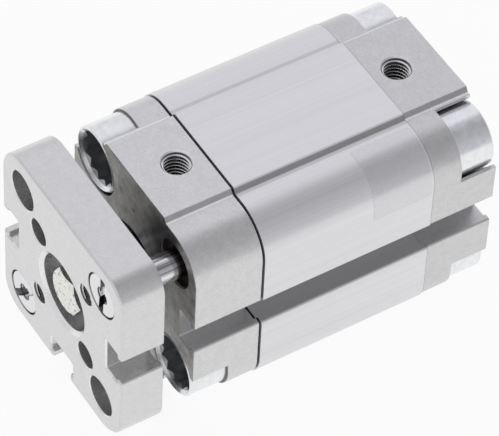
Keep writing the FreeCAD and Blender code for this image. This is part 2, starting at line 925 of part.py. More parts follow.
def make_plate_screw():
    """A hexagon screw with a turned chamfer, which holds the plate on the rod."""
    body = new_body("plate_screw", f"({PLATE_FRONT} - centre_depth)")
    corner = "(hex_flats / 2 / cos(30 deg))"
    head = across(body, "hexagon")
    outline(
        head,
        [
            (
                f"({corner} * cos({point * 60} deg))",
                f"({corner} * sin({point * 60} deg))",
            )
            for point in range(6)
        ],
    )
    pad(body, "head", head, "hex_height")
    beyond = f"({corner} + 1)"
    drop = f"(({beyond} - hex_face / 2) * tan(hex_slope * 1 deg))"
    turned(
        body,
        "head_chamfer",
        [
            ("hex_height", "(hex_face / 2)"),
            ("hex_height", beyond),
            (f"(hex_height - {drop})", beyond),
        ],
        cut=True,
    )
    thread = "(rod_thread / 2)"
    turned(
        body,
        "shank",
        [
            ("0", "0"),
            ("0", thread),
            ("(rod_chamfer - hex_shank_length)", thread),
            ("-hex_shank_length", f"({thread} - rod_chamfer)"),
            ("-hex_shank_length", "0"),
        ],
    )


def make_guide_rod(name, y, z, slot_turn):
    """A rod screwed through the plate from the front, with a slot and a turning centre."""
    turn = FreeCAD.Rotation(FreeCAD.Vector(1, 0, 0), slot_turn)
    body = new_body(name, f"({PLATE_FRONT} - guide_head_recess)", y, z, turn)
    head = "(guide_head / 2)"
    neck = "(guide_neck / 2)"
    rod = "(guide_diameter / 2)"
    to_rear_face = "(plate_thickness - guide_head_recess)"
    tail = f"({to_rear_face} + guide_reach)"
    centre = "(guide_centre_diameter / 2)"
    sink = f"({centre} + rod_chamfer)"
    turned(
        body,
        "rod",
        [
            ("-guide_centre_depth", "0"),
            (f"({centre} * tan(30 deg) - guide_centre_depth)", centre),
            ("-rod_chamfer", centre),
            ("0", sink),
            ("0", f"({head} - rod_chamfer / 2)"),
            ("-rod_chamfer / 2", head),
            ("-guide_head_length", head),
            ("-guide_head_length", neck),
            (f"(guide_seat_gap - {to_rear_face})", neck),
            (f"(guide_seat_gap - {to_rear_face})", rod),
            (f"(guide_tail_chamfer - {tail})", rod),
            (f"-{tail}", f"({rod} - guide_tail_chamfer)"),
            (f"-{tail}", "0"),
        ],
    )
    slot = across(body, "driver_slot")
    outline(
        slot,
        [
            ("(guide_slot_width / 2)", f"-{head}"),
            ("(guide_slot_width / 2)", head),
            ("-guide_slot_width / 2", head),
            ("-guide_slot_width / 2", f"-{head}"),
        ],
    )
    pocket(body, "driver_slot_cut", slot, "guide_slot_depth")


def make_all():
    make_rear_cap()
    make_barrel()
    make_front_gasket()
    make_front_cap()
    make_seal_ring()
    for height, v in (("upper", BOLT), ("lower", f"-{BOLT}")):
        for side, u in (("right", BOLT), ("left", f"-{BOLT}")):
            name = f"rear_collar_screw_{height}_{side}"
            make_collar_screw(name, "collar_recess", u, v, backwards=True)
    front = f"({HOUSING_LENGTH} - collar_recess)"
    make_collar_screw(
        "front_collar_screw_upper", front, f"-{BOLT}", BOLT, backwards=False
    )
    make_collar_screw(
        "front_collar_screw_lower", front, BOLT, f"-{BOLT}", backwards=False
    )
    bearing_rear = f"({HOUSING_LENGTH} - rod_seal_recess - {BEARING_LENGTH})"
    make_bush(
        "rod_bearing",
        bearing_rear,
        "0",
        "0",
        "rod_diameter",
        "bearing_wall",
        BEARING_LENGTH,
    )
    make_rod_seal()
    bush_rear = f"({FRONT_CAP_REAR} + guide_bush_floor)"
    bush_length = "(cap_length - guide_bush_floor - guide_bush_recess)"
    for name, sign in (("guide_bush_upper", ""), ("guide_bush_lower", "-")):
        make_bush(
            name,
            bush_rear,
            f"{sign}{BOLT}",
            f"{sign}{BOLT}",
            "guide_diameter",
            "guide_bush_wall",
            bush_length,
        )
    make_cushion("rear_cushion", "(cap_length + spigot_length - cushion_seat)")
    make_cushion(
        "front_cushion", f"({BARREL_FRONT} - spigot_length - cushion_proud)"
    )
    make_piston_rod()
    rear_middle = f"({PISTON_REAR} + {HALF_LENGTH})"
    front_middle = f"({PISTON_FRONT} - {HALF_LENGTH})"
    make_piston_half("piston_rear_half", rear_middle, backwards=True)
    make_piston_half("piston_front_half", front_middle, backwards=False)
    make_magnet()
    make_wear_ring()
    make_piston_seal("piston_seal_rear", rear_middle, backwards=True)
    make_piston_seal("piston_seal_front", front_middle, backwards=False)
    make_piston_screw()
    make_yoke_plate()
    make_plate_screw()
    make_guide_rod("guide_rod_upper", BOLT, BOLT, UPPER_SLOT_TURN)
    make_guide_rod("guide_rod_lower", f"-{BOLT}", f"-{BOLT}", LOWER_SLOT_TURN)


def check_and_write():
    """Stops on any failed object or bad solid, then writes one file for each body."""
    doc.recompute()
    for thing in doc.Objects:
        if {"Invalid", "Error"} & set(thing.State):
            raise RuntimeError(f"{thing.Label} failed: {thing.State}")
    for body in bodies:
        shape = body.Shape
        if shape.isNull() or not shape.isValid() or len(shape.Solids) != 1:
            raise RuntimeError(f"{body.Label} is not one valid solid")
        shape.exportStep(f"parts/{body.Label}.step")
        print(f"{body.Label}: {shape.Volume:.1f} mm3")


make_all()
check_and_write()
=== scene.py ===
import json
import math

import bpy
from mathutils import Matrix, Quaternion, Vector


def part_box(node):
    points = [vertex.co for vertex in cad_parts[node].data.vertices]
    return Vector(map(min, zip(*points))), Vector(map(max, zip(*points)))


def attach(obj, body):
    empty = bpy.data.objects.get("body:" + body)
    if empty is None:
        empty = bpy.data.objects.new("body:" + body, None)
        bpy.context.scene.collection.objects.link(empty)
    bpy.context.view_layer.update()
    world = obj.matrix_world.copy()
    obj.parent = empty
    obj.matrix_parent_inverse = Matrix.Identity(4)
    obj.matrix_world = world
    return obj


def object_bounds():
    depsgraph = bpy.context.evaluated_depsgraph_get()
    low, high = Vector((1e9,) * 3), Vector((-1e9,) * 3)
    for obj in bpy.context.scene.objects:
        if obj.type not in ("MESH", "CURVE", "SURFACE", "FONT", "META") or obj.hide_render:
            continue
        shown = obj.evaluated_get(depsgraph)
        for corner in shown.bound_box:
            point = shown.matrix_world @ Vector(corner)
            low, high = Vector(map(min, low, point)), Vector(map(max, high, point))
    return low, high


bl_info = {
    "name": "Compact guided cylinder",
    "version": (1, 0, 0),
    "blender": (4, 5, 0),
    "location": "View3D > Sidebar > Cylinder",
    "description": "Cuts the threads, lays the film and finishes the metals of a compact cylinder",
    "category": "Object",
}

# Lengths are in metres in the cylinder's own frame: the origin is the centre of the rear
# face, +X runs out along the rod and +Z is the side with the two air ports.
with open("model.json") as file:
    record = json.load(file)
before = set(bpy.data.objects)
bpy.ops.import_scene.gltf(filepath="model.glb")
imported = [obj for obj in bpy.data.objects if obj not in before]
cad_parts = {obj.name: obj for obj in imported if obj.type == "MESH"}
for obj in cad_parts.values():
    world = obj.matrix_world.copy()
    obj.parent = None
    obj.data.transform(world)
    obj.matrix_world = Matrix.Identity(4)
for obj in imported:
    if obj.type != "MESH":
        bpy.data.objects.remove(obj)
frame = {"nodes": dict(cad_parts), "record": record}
NODES = frame["nodes"]
CAD_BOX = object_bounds()
MM = 0.001

# The picture's size and the camera that was solved for it.
IMAGE_WIDTH = 499
FOCAL_PIXELS = 3758.30
SENSOR_WIDTH = 36.0
CAMERA_PLACE = Vector((0.269072, 0.347946, 0.478421))
CAMERA_VIEW = Vector((-0.365887, -0.546123, -0.753575))
CAMERA_UP = Vector((-0.374543, -0.654845, 0.656426))
CAMERA_CLIP = (0.01, 20.0)

# The lamps hang over the cylinder's far side and beside the rounded edge, and aim at it.
LAMP_TARGET = (0.03, 0.0, 0.0)
LAMP_SIZE = 0.6
TOP_LIGHT_PLACE = (-0.28, -0.65, 0.56)
SIDE_LIGHT_PLACE = (0.35, 0.85, 0.12)

# How bright metal sees the room from one side, -Y, to the other, +Y: the part from -1 to 1
# and the brightness there. A grey strip hangs along X over the rounded edge. Reflections
# that run towards -X see it, and it fades out within STRIP_END of those square to X.
STRIP_STOPS = (
    (-1.0, 0.82),
    (-0.48, 0.90),
    (-0.30, 0.90),
    (-0.08, 0.52),
    (0.22, 0.38),
    (0.62, 0.42),
    (0.90, 0.56),
    (1.0, 0.66),
)
STRIP_END = 0.12
FLOOR_COLOUR = (0.9, 0.9, 0.9, 1.0)
FLOOR_GLOW = 0.92
WHITE = (1.0, 1.0, 1.0, 1.0)

# The nodes that share a finish.
SCREW_NODES = tuple(name for name in NODES if "collar_screw" in name)
BUSH_NODES = ("guide_bush_upper", "guide_bush_lower", "rod_bearing")
ROD_NODES = ("piston_rod", "guide_rod_upper", "guide_rod_lower")
RUBBER_NODES = (
    "front_gasket",
    "rear_seal_ring",
    "rod_seal",
    "piston_seal_rear",
    "piston_seal_front",
)
CUSHION_NODES = ("rear_cushion", "front_cushion")
PISTON_NODES = ("piston_rear_half", "piston_front_half")

# The threads and the film are buried a little in what carries them. A ridge's depth and
# width are shares of its pitch, its crest is a share of its width, and its faces that turn
# out of the hole by more than OUTWARD take a lighter copy of the metal with painted light,
# the others a darker copy with painted shade.
QUARTER_TURN = math.radians(90)
SMOOTH_ANGLE = math.radians(30)
MERGE_DISTANCE = 0.001 * MM
THREAD_BURY = 0.03 * MM
THREAD_STEPS = 48
THREAD_TURN = math.radians(250)
THREAD_DEPTH_SHARE = 0.34
PROFILE_WIDTH_SHARE = 0.58
CREST_SHARE = 0.42
OUTWARD = 0.3
PORT_EDGE = 0.3 * MM
PLATE_EDGE = 0.3 * MM
FILM_BURY = 0.02 * MM
FILM_ARC_STEPS = 24
FILM_CORNER_STEPS = 4

# Places on the solids that the finishes follow. A pair is where a band starts and ends.
SEAM_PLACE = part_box("barrel")[0].x
SEAM_WIDTH = 0.07 * MM
GAP_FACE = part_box("front_cap")[1].x
GAP_FACE_SKIN = 0.08 * MM
SCREW_FACES = (
    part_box("rear_collar_screw_upper_right")[0].x,
    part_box("front_collar_screw_upper")[1].x,
)
HEAD_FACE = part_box("guide_rod_upper")[1].x
PLATE_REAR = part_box("yoke_plate")[0].x
PLATE_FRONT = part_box("yoke_plate")[1].x
CAP_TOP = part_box("rear_cap")[1].z
CROWN_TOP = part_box("barrel")[1].z
# The crown's flanks and the barrel's shoulder take painted shade, and the caps' crown foot a
# painted highlight.
CROWN_HALF = (9.1 * MM, 10.2 * MM)
CROWN_FLANK = (0.24 * MM, 1.06 * MM)
CROWN_FAR_SIDE = -9.92 * MM
CROWN_FOOT = (9.8 * MM, 10.15 * MM)
CROWN_SHOULDER = (10.2 * MM, 10.9 * MM)
CORNER_CENTRE = 12.5 * MM
CORNER_SKIN = 7.1 * MM
SCREW_OFFSET = 13.0 * MM
POCKET_REACH = 6.5 * MM
POCKET_DEPTH = (0.35 * MM, 7.2 * MM)
SOCKET_REACH = 5.2 * MM
SOCKET_CONE = 0.55 * MM
DRIVER_SLOT_DEPTH = (0.12 * MM, 1.3 * MM)
DRIVER_SLOT_CENTRE = 1.35 * MM
PORT_WALL = 2.55 * MM
PORT_RIM = 2.88 * MM
PORT_RIM_DEPTH = 0.4 * MM
SLOT_HALF = 3.65 * MM
SLOT_REACH = (14.7 * MM, 19.6 * MM)
SLOT_TOP = 13.0 * MM
PLATE_SKIN = 16.75 * MM
NOTCH_HALF = 3.8 * MM
NOTCH_FLOOR = 14.5 * MM
# The dimple in the gap face is painted dark as its shade, and a painted shadow fades out round
# SHADOW_PLACE.
DIMPLE_PLACE = (-0.2 * MM, 13.0 * MM)
DIMPLE_RADIUS = 0.36 * MM
SHADOW_PLACE = (9.5 * MM, 15.0 * MM)
SHADOW_REACH = (2.0 * MM, 8.0 * MM)

# Half the width of a mask's soft edge. A normal's part along X is under ENDWISE where the
# surface runs along X, and over ENDWISE_FLAT where it is square to X.
SOFT_EDGE = 0.03 * MM
ENDWISE = 0.3
ENDWISE_FLAT = 0.95

# Oil stain and painted shadow inside the gap, and the dimple's painted shade.
OIL_CONTRAST = 1.8
OIL_SHARE = 0.75
SHADOW_DARKNESS = 0.9
DIMPLE_DARKNESS = 0.9

# What the shared groups and the finishes start from.
GREY = (0.6, 0.6, 0.6, 1.0)
OIL = (0.1, 0.1, 0.07, 1.0)
EVENLY = (1.0, 1.0, 1.0)
NOISE_MIDDLE = 0.5
EDGE_SAMPLES = 6
EDGE_SHARPNESS = 5.0
ANODISED = {"Metallic": 0.8, "IOR": 1.6}
SOCKET_KINDS = {
    "Colour": "NodeSocketColor",
    "Stain": "NodeSocketColor",
    "Normal": "NodeSocketVector",
}


def color_property(name, description, default):
    return bpy.props.FloatVectorProperty(
        name=name,
        description=description,
        default=default,
        subtype="COLOR",
        size=3,
        min=0.0,
        max=1.0,
    )


def length_property(name, description, default):
    return bpy.props.FloatProperty(
        name=name,
        description=description,
        default=default,
        unit="LENGTH",
        precision=5,
        min=0.0,
    )


class CylinderColours(bpy.types.PropertyGroup):
    """The colours of the cylinder's metals, plastics and rubber."""

    rear_cap: color_property("Rear cap", "Blasted and anodised", (0.64, 0.64, 0.645))
    front_cap: color_property("Front cap", "Blasted and anodised", (0.69, 0.69, 0.695))
    plate: color_property("Plate", "Blasted plate on the rod", (0.70, 0.70, 0.70))
    barrel: color_property("Barrel", "Anodised extrusion", (0.775, 0.775, 0.79))
    zinc: color_property("Screws", "Bright zinc plating", (0.86, 0.87, 0.89))
    pressed: color_property("Hex screws", "Pressed and zinc plated", (0.74, 0.74, 0.70))
    steel: color_property("Rods", "Ground and polished steel", (0.74, 0.73, 0.75))
    bronze: color_property("Bushes", "Oiled sintered bronze", (0.05, 0.026, 0.015))
    piston: color_property("Piston", "Turned aluminium", (0.5, 0.5, 0.51))
    magnet: color_property("Magnet", "Bonded ferrite", (0.035, 0.035, 0.037))
    wear_ring: color_property("Wear ring", "Dark bearing plastic", (0.05, 0.042, 0.036))
    rubber: color_property("Seals", "Matt black rubber", (0.014, 0.014, 0.014))
    cushion: color_property("Cushions", "Dark elastomer", (0.07, 0.06, 0.045))
    film: color_property("Film", "Bare label film", (0.70, 0.70, 0.725))
    stain: color_property("Oil stain", "Oily tint inside the gap", (0.11, 0.10, 0.075))


class CylinderThreads(bpy.types.PropertyGroup):
    """The threads that are cut in the ports, the plate and the hollow screws."""

    port_radius: length_property("Port radius", "Wall of the port holes", 2.5 * MM)
    port_pitch: length_property("Port pitch", "Pitch of the port threads", 0.8 * MM)
    port_length: length_property("Port length", "Length of the port threads", 7.04 * MM)
    plate_radius: length_property("Plate radius", "Wall of the plate's holes", 2.0 * MM)
    plate_pitch: length_property("Plate pitch", "Pitch of the plate's threads", 0.7 * MM)
    plate_length: length_property("Plate length", "Length of its threads", 7.0 * MM)
    screw_radius: length_property("Screw radius", "Wall inside the screws", 2.5 * MM)
    screw_pitch: length_property("Screw pitch", "Pitch inside the screws", 0.8 * MM)
    screw_length: length_property("Screw length", "Threaded length inside", 14.0 * MM)


class CylinderFilm(bpy.types.PropertyGroup):
    """The bare label film that wraps round the barrel's corner."""

    rear: length_property("Rear edge", "Gap from the rear cap's seam", 0.5 * MM)
    width: length_property("Width", "Width along the barrel", 11.4 * MM)
    thickness: length_property("Thickness", "Thickness of the film", 0.06 * MM)
    top_reach: length_property("Top reach", "Flat part on the port side", 0.9 * MM)
    side_reach: length_property("Side reach", "Flat part on the side", 1.6 * MM)
    corner_radius: length_property("Bend", "Radius of the barrel's corner", 7.4 * MM)
    corner_round: length_property("Corners", "Radius of the film's corners", 0.5 * MM)


class CylinderStage(bpy.types.PropertyGroup):
    """The floor and the studio light."""

    floor_size: length_property("Floor", "Side of the square floor", 4.0)
    top_power: bpy.props.FloatProperty(
        name="Top light", description="Power of the top light", default=2.0, unit="POWER"
    )
    side_power: bpy.props.FloatProperty(
        name="Side light", description="Power of the side light", default=2.4, unit="POWER"
    )
    room_light: bpy.props.FloatProperty(
        name="Room light", description="Strength of the light all round", default=0.55
    )
    reflected_room: bpy.props.FloatProperty(
        name="Reflected room", description="How bright metal sees the room", default=0.8
    )
    room_tint: color_property("Room tint", "Cool light from above", (0.955, 0.95, 1.0))


def new_socket(group, label, side):
    kind = SOCKET_KINDS.get(label, "NodeSocketFloat")
    return group.interface.new_socket(label, in_out=side, socket_type=kind)


def new_group(name, inputs, outputs):
    """An empty shader group with a colour and other named inputs, and its two end nodes."""
    group = bpy.data.node_groups.new(name, "ShaderNodeTree")
    for label, default in {"Colour": GREY, **inputs}.items():
        new_socket(group, label, "INPUT").default_value = default
    for label in outputs:
        new_socket(group, label, "OUTPUT")
    start = group.nodes.new("NodeGroupInput")
    end = group.nodes.new("NodeGroupOutput")
    return group, start, end


def feed(tree, socket, given):
    """Sets a socket to a number, or links another node's output to it."""
    if isinstance(given, (int, float)):
        socket.default_value = given
    else:
        tree.links.new(given, socket)


def math_node(tree, operation, first, second=0.0):
    """A math node's output, for inputs that are numbers or other nodes' outputs."""
    node = tree.nodes.new("ShaderNodeMath")
    node.operation = operation
    feed(tree, node.inputs[0], first)
    feed(tree, node.inputs[1], second)
    return node.outputs[0]


def product(tree, first, *others):
    """All of them multiplied, which for masks gives the places that they share."""
    for other in others:
        first = math_node(tree, "MULTIPLY", first, other)
    return first


def noise_node(tree, vector, detail, scale=1.0, roughness=0.5):
    node = tree.nodes.new("ShaderNodeTexNoise")
    node.inputs["Detail"].default_value = detail
    node.inputs["Roughness"].default_value = roughness
    tree.links.new(vector, node.inputs["Vector"])
    feed(tree, node.inputs["Scale"], scale)
    return node.outputs["Fac"]


def stretched(tree, scale=EVENLY):
    """Object coordinates times the scale along X, Y and Z, so noise changes that often."""
    place = tree.nodes.new("ShaderNodeTexCoord")
    mapping = tree.nodes.new("ShaderNodeMapping")
    mapping.inputs["Scale"].default_value = scale
    tree.links.new(place.outputs["Object"], mapping.inputs["Vector"])
    return mapping.outputs["Vector"]


def centred(tree, noise):
    return math_node(tree, "SUBTRACT", noise, NOISE_MIDDLE)


def shade(tree, colour, factor):
    """A colour multiplied by a value that varies over the surface."""
    mix = tree.nodes.new("ShaderNodeVectorMath")
    mix.operation = "SCALE"
    tree.links.new(colour, mix.inputs[0])
    tree.links.new(factor, mix.inputs["Scale"])
    return mix.outputs[0]


def ramp(tree, value, start, end, low=0.0, high=1.0, slope="LINEAR"):
    """A value that is low up to start and high from end on, with a slope between them."""
    step = tree.nodes.new("ShaderNodeMapRange")
    step.interpolation_type = slope
    step.inputs["From Min"].default_value = start
    step.inputs["From Max"].default_value = end
    step.inputs["To Min"].default_value = low
    step.inputs["To Max"].default_value = high
    tree.links.new(value, step.inputs["Value"])
    return step.outputs["Result"]


def object_axes(tree):
    """The X, Y and Z of the point being shaded, in metres in the cylinder's frame."""
    place = tree.nodes.new("ShaderNodeTexCoord")
    axes = tree.nodes.new("ShaderNodeSeparateXYZ")
    tree.links.new(place.outputs["Object"], axes.inputs[0])
    return axes.outputs["X"], axes.outputs["Y"], axes.outputs["Z"]


def below(tree, value, limit):
    """1 where the value is under the limit, 0 where it is over, with a soft edge."""
    return ramp(tree, value, limit - SOFT_EDGE, limit + SOFT_EDGE, 1.0, 0.0)


def above(tree, value, limit):
    return math_node(tree, "SUBTRACT", 1.0, below(tree, value, limit))


def between(tree, value, low, high):
    return product(tree, above(tree, value, low), below(tree, value, high))


def hypotenuse(tree, first, second):
    """The length of the arrow with those two parts."""
    squares = [product(tree, part, part) for part in (first, second)]
    return math_node(tree, "SQRT", math_node(tree, "ADD", *squares))


def distance(tree, y, z, place):
    """How far the point is from that place in the plane across X."""
    parts = [math_node(tree, "SUBTRACT", part, at) for part, at in zip((y, z), place)]
    return hypotenuse(tree, *parts)


def off_diagonal_axis(tree, y, z, offset):
    """The distance from the nearest of four axes along X, each offset in Y and in Z."""
    sizes = [math_node(tree, "ABSOLUTE", part) for part in (y, z)]
    return distance(tree, *sizes, (offset, offset))


def off_screw_axis(tree, y, z):
    """The distance from the nearest axis of the screws and guide rods."""
    return off_diagonal_axis(tree, y, z, SCREW_OFFSET)


def screw_depth(tree, x):
    """The depth behind the faces of the collar screws, at either end."""
    from_rear = math_node(tree, "SUBTRACT", x, SCREW_FACES[0])
    from_front = math_node(tree, "SUBTRACT", SCREW_FACES[1], x)
    return math_node(tree, "MINIMUM", from_rear, from_front)


def off_port_axis(tree, x, y):
    """The distance from the nearer port's axis: both stand as far from their midpoint."""
    ports = [mount["pos_m"][0] for mount in hole_mounts("port_")]
    middle = sum(ports) / 2
    half = abs(ports[0] - ports[1]) / 2
    from_middle = math_node(tree, "ABSOLUTE", math_node(tree, "SUBTRACT", x, middle))
    return hypotenuse(tree, math_node(tree, "SUBTRACT", from_middle, half), y)


def endwise(tree, normal):
    """How much the surface faces either end: 1 square to X, 0 along X."""
    facing = tree.nodes.new("ShaderNodeNewGeometry")
    parts = tree.nodes.new("ShaderNodeSeparateXYZ")
    tree.links.new(facing.outputs[normal], parts.inputs[0])
    return math_node(tree, "ABSOLUTE", parts.outputs["X"])


def facing_sideways(tree):
    """1 on the surfaces that run along X, 0 on those that face either end."""
    return math_node(tree, "LESS_THAN", endwise(tree, "Normal"), ENDWISE)


def larger_and_smaller(tree, y, z):
    """The larger and the smaller of the sizes of Y and Z, for what all sides share."""
    sizes = [math_node(tree, "ABSOLUTE", part) for part in (y, z)]
    return math_node(tree, "MAXIMUM", *sizes), math_node(tree, "MINIMUM", *sizes)


def slot_walls(tree, x, y, z):
    """The walls of the three sensor slots, which only see each other, for painted shade."""
    larger, smaller = larger_and_smaller(tree, y, z)
    return product(
        tree,
        facing_sideways(tree),
        between(tree, larger, *SLOT_REACH),
        below(tree, smaller, SLOT_HALF),
        below(tree, z, SLOT_TOP),
    )


def bored_walls(tree, x, y, z):
    """The walls of the plate's holes, for painted shade: they face across X, inside the plate's
    outline.
    """
    larger, smaller = larger_and_smaller(tree, y, z)
    off_notches = math_node(
        tree,
        "MAXIMUM",
        above(tree, smaller, NOTCH_HALF),
        below(tree, larger, NOTCH_FLOOR),
    )
    inside = below(tree, larger, PLATE_SKIN)
    return product(tree, facing_sideways(tree), inside, off_notches)


def hole_rims(tree, x, y, z):
    """The chamfers of the plate's holes, for a painted highlight: they lean between X and the
    sides.
    """
    ends = endwise(tree, "True Normal")
    leaning = product(
        tree,
        math_node(tree, "GREATER_THAN", ends, ENDWISE),
        math_node(tree, "LESS_THAN", ends, ENDWISE_FLAT),
    )
    larger, smaller = larger_and_smaller(tree, y, z)
    return product(tree, leaning, below(tree, larger, PLATE_SKIN))


def port_walls(tree, x, y, z):
    """The walls of both air ports, for painted shade."""
    wall = below(tree, off_port_axis(tree, x, y), PORT_WALL)
    return product(tree, wall, above(tree, z, 0.0))


def port_rims(tree, x, y, z):
    """The countersunk rims of the air ports, for a painted highlight."""
    ring = between(tree, off_port_axis(tree, x, y), PORT_WALL, PORT_RIM)
    return product(tree, ring, above(tree, z, CAP_TOP - PORT_RIM_DEPTH))


def pocket_walls(tree, x, y, z):
    """The shadowed walls and floors of the screw pockets, round the screws' heads."""
    near = below(tree, off_screw_axis(tree, y, z), POCKET_REACH)
    under_skin = below(tree, off_diagonal_axis(tree, y, z, CORNER_CENTRE), CORNER_SKIN)
    deep = between(tree, screw_depth(tree, x), *POCKET_DEPTH)
    return product(tree, near, under_skin, deep)


def screw_sockets(tree, x, y, z):
    """The deep walls of the collar screws' sockets, for painted shade, while their rims stay
    bright.
    """
    wall = below(tree, off_screw_axis(tree, y, z), SOCKET_REACH)
    return product(tree, wall, above(tree, screw_depth(tree, x), SOCKET_CONE))


def driver_slots(tree, x, y, z):
    """The driver slots in the guide rods' heads, for painted shade."""
    depth = math_node(tree, "SUBTRACT", HEAD_FACE, x)
    beside_centre = above(tree, off_screw_axis(tree, y, z), DRIVER_SLOT_CENTRE)
    return product(tree, between(tree, depth, *DRIVER_SLOT_DEPTH), beside_centre)


def pressed_specks(tree, x, y, z):
    """Small dark pits in the pressed face of the hexagon screw."""
    pits = noise_node(tree, stretched(tree), detail=2.0, scale=1500.0)
    return ramp(tree, pits, start=0.58, end=0.66)


def painted_reflection_bands(tree, x, y, z):
    """Painted dark reflections: bands that run along the guide rods behind the plate."""
    along_rods = stretched(tree, (4.0, 2100.0, 2100.0))
    bands = noise_node(tree, along_rods, detail=1.0)
    behind_plate = below(tree, x, PLATE_REAR)
    return product(tree, ramp(tree, bands, start=0.46, end=0.58), behind_plate)


def seam_line(tree, x, y, z):
    """The shadowed edge of the barrel where it meets the rear cap."""
    return below(tree, x, SEAM_PLACE + SEAM_WIDTH)


def along_crown(tree, y, z, widths, top):
    """1 in a band along both sides of the crown, down to just under its foot."""
    width = math_node(tree, "ABSOLUTE", y)
    foot = top - CROWN_FLANK[1]
    return product(tree, between(tree, width, *widths), above(tree, z, foot))


def crown_foot(tree, x, y, z):
    """The line at the foot of the caps' crown, for a painted highlight."""
    return along_crown(tree, y, z, CROWN_FOOT, CAP_TOP)


def crown_shoulder(tree, x, y, z):
    """The barrel's shoulder beside the crown, darkened with painted shade where it sees the
    crown's dark flank.
    """
    return along_crown(tree, y, z, CROWN_SHOULDER, CROWN_TOP)


def crown_flank(tree, x, y, z):
    """The two flanks of the raised crown on the port side, for painted shade."""
    return product(
        tree,
        along_crown(tree, y, z, CROWN_HALF, CROWN_TOP),
        below(tree, z, CROWN_TOP - CROWN_FLANK[0]),
        above(tree, y, CROWN_FAR_SIDE),
    )


TINT_MASKS = {
    "Slot walls": slot_walls,
    "Bored walls": bored_walls,
    "Hole rims": hole_rims,
    "Port walls": port_walls,
    "Port rims": port_rims,
    "Pocket walls": pocket_walls,
    "Screw sockets": screw_sockets,
    "Driver slots": driver_slots,
    "Pressed specks": pressed_specks,
    "Ground bands": painted_reflection_bands,
    "Seam line": seam_line,
    "Crown foot": crown_foot,
    "Crown shoulder": crown_shoulder,
    "Crown flank": crown_flank,
}


def tint_group(name):
    """A group that multiplies the colour by Shade in the places that its mask gives: under 1 this
    paints shade, over 1 a highlight, and on the pressed specks it gives the pits their own dark
    colour.
    """
    group, start, end = new_group(name, {"Shade": 0.5}, ["Colour"])
    mask = TINT_MASKS[name](group, *object_axes(group))
    loss = math_node(group, "SUBTRACT", 1.0, start.outputs["Shade"])
    dimming = product(group, mask, loss)
    kept = math_node(group, "SUBTRACT", 1.0, dimming)
    dimmed = shade(group, start.outputs["Colour"], kept)
    group.links.new(dimmed, end.inputs["Colour"])
    return group


def oil_and_shadow_group(name):
    """Oil stain and painted shadow on the front cap's face inside the gap, and the painted shade
    of a dimple in that face.
    """
    group, start, end = new_group(name, {"Stain": OIL, "Amount": 0.5}, ["Colour"])
    x, y, z = object_axes(group)
    face = above(group, x, GAP_FACE - GAP_FACE_SKIN)
    cloud = noise_node(group, stretched(group), detail=6.0, scale=420.0, roughness=0.7)
    patches = product(group, centred(group, cloud), OIL_CONTRAST)
    share = math_node(group, "ADD", patches, start.outputs["Amount"])
    oiled = group.nodes.new("ShaderNodeMix")
    oiled.data_type = "RGBA"
    group.links.new(product(group, share, OIL_SHARE, face), oiled.inputs["Factor"])
    group.links.new(start.outputs["Colour"], oiled.inputs["A"])
    group.links.new(start.outputs["Stain"], oiled.inputs["B"])
    # A painted shadow darkens the face round SHADOW_PLACE, and the dimple is painted dark as its
    # shade.
    off_shadow = distance(group, y, z, SHADOW_PLACE)
    shadow = ramp(group, off_shadow, *SHADOW_REACH, SHADOW_DARKNESS, 0.0, "SMOOTHSTEP")
    dimple = below(group, distance(group, y, z, DIMPLE_PLACE), DIMPLE_RADIUS)
    dark_dimple = product(group, dimple, DIMPLE_DARKNESS)
    darkest = math_node(group, "MAXIMUM", dark_dimple, shadow)
    kept = math_node(group, "SUBTRACT", 1.0, product(group, face, darkest))
    group.links.new(shade(group, oiled.outputs["Result"], kept), end.inputs["Colour"])
    return group


def edge_light_group(name):
    """Rounds the look of sharp edges and paints a highlight on them by Gain, or painted shade
    below 0.
    """
    group, start, end = new_group(
        name, {"Width": 0.12 * MM, "Gain": 0.4}, ["Colour", "Normal"]
    )
    rounded = group.nodes.new("ShaderNodeBevel")
    rounded.samples = EDGE_SAMPLES
    group.links.new(start.outputs["Width"], rounded.inputs["Radius"])
    surface = group.nodes.new("ShaderNodeNewGeometry")
    turn = group.nodes.new("ShaderNodeVectorMath")
    turn.operation = "DOT_PRODUCT"
    group.links.new(rounded.outputs["Normal"], turn.inputs[0])
    group.links.new(surface.outputs["Normal"], turn.inputs[1])
    bend = math_node(group, "SUBTRACT", 1.0, turn.outputs["Value"])
    at_edge = math_node(group, "MINIMUM", product(group, bend, EDGE_SHARPNESS), 1.0)
    gain = product(group, at_edge, start.outputs["Gain"])
    brightness = math_node(group, "ADD", gain, 1.0)
    colour = shade(group, start.outputs["Colour"], brightness)
    group.links.new(colour, end.inputs["Colour"])
    group.links.new(rounded.outputs["Normal"], end.inputs["Normal"])
    return group


def grain_and_patches(group, start):
    """Fine matt grain with faint cloudy patches, as on blasted and anodised aluminium."""
    place = stretched(group)
    grain_scale = start.outputs["Grains per metre"]
    patch_scale = start.outputs["Patches per metre"]
    grain = noise_node(group, place, detail=3.0, scale=grain_scale, roughness=0.6)
    patches = noise_node(group, place, detail=5.0, scale=patch_scale, roughness=0.6)
    return grain, patches, grain


def lines_and_bands(group, start):
    """Streaks that run along X, as a die leaves on an extrusion."""
    lines_at = stretched(group, (8.0, 1900.0, 1900.0))
    bands_at = stretched(group, (4.0, 260.0, 260.0))
    lines = noise_node(group, lines_at, detail=4.0, roughness=0.6)
    bands = noise_node(group, bands_at, detail=3.0)
    return lines, bands, lines


def rings_and_patches(group, start):
    """Fine rings square to X with small uneven patches, as on turned or ground steel."""
    rings_at = stretched(group, (2600.0, 60.0, 60.0))
    rings = noise_node(group, rings_at, detail=3.0, roughness=0.6)
    patches = noise_node(group, stretched(group), detail=4.0, scale=900.0, roughness=0.6)
    return rings, patches, math_node(group, "ADD", rings, patches)


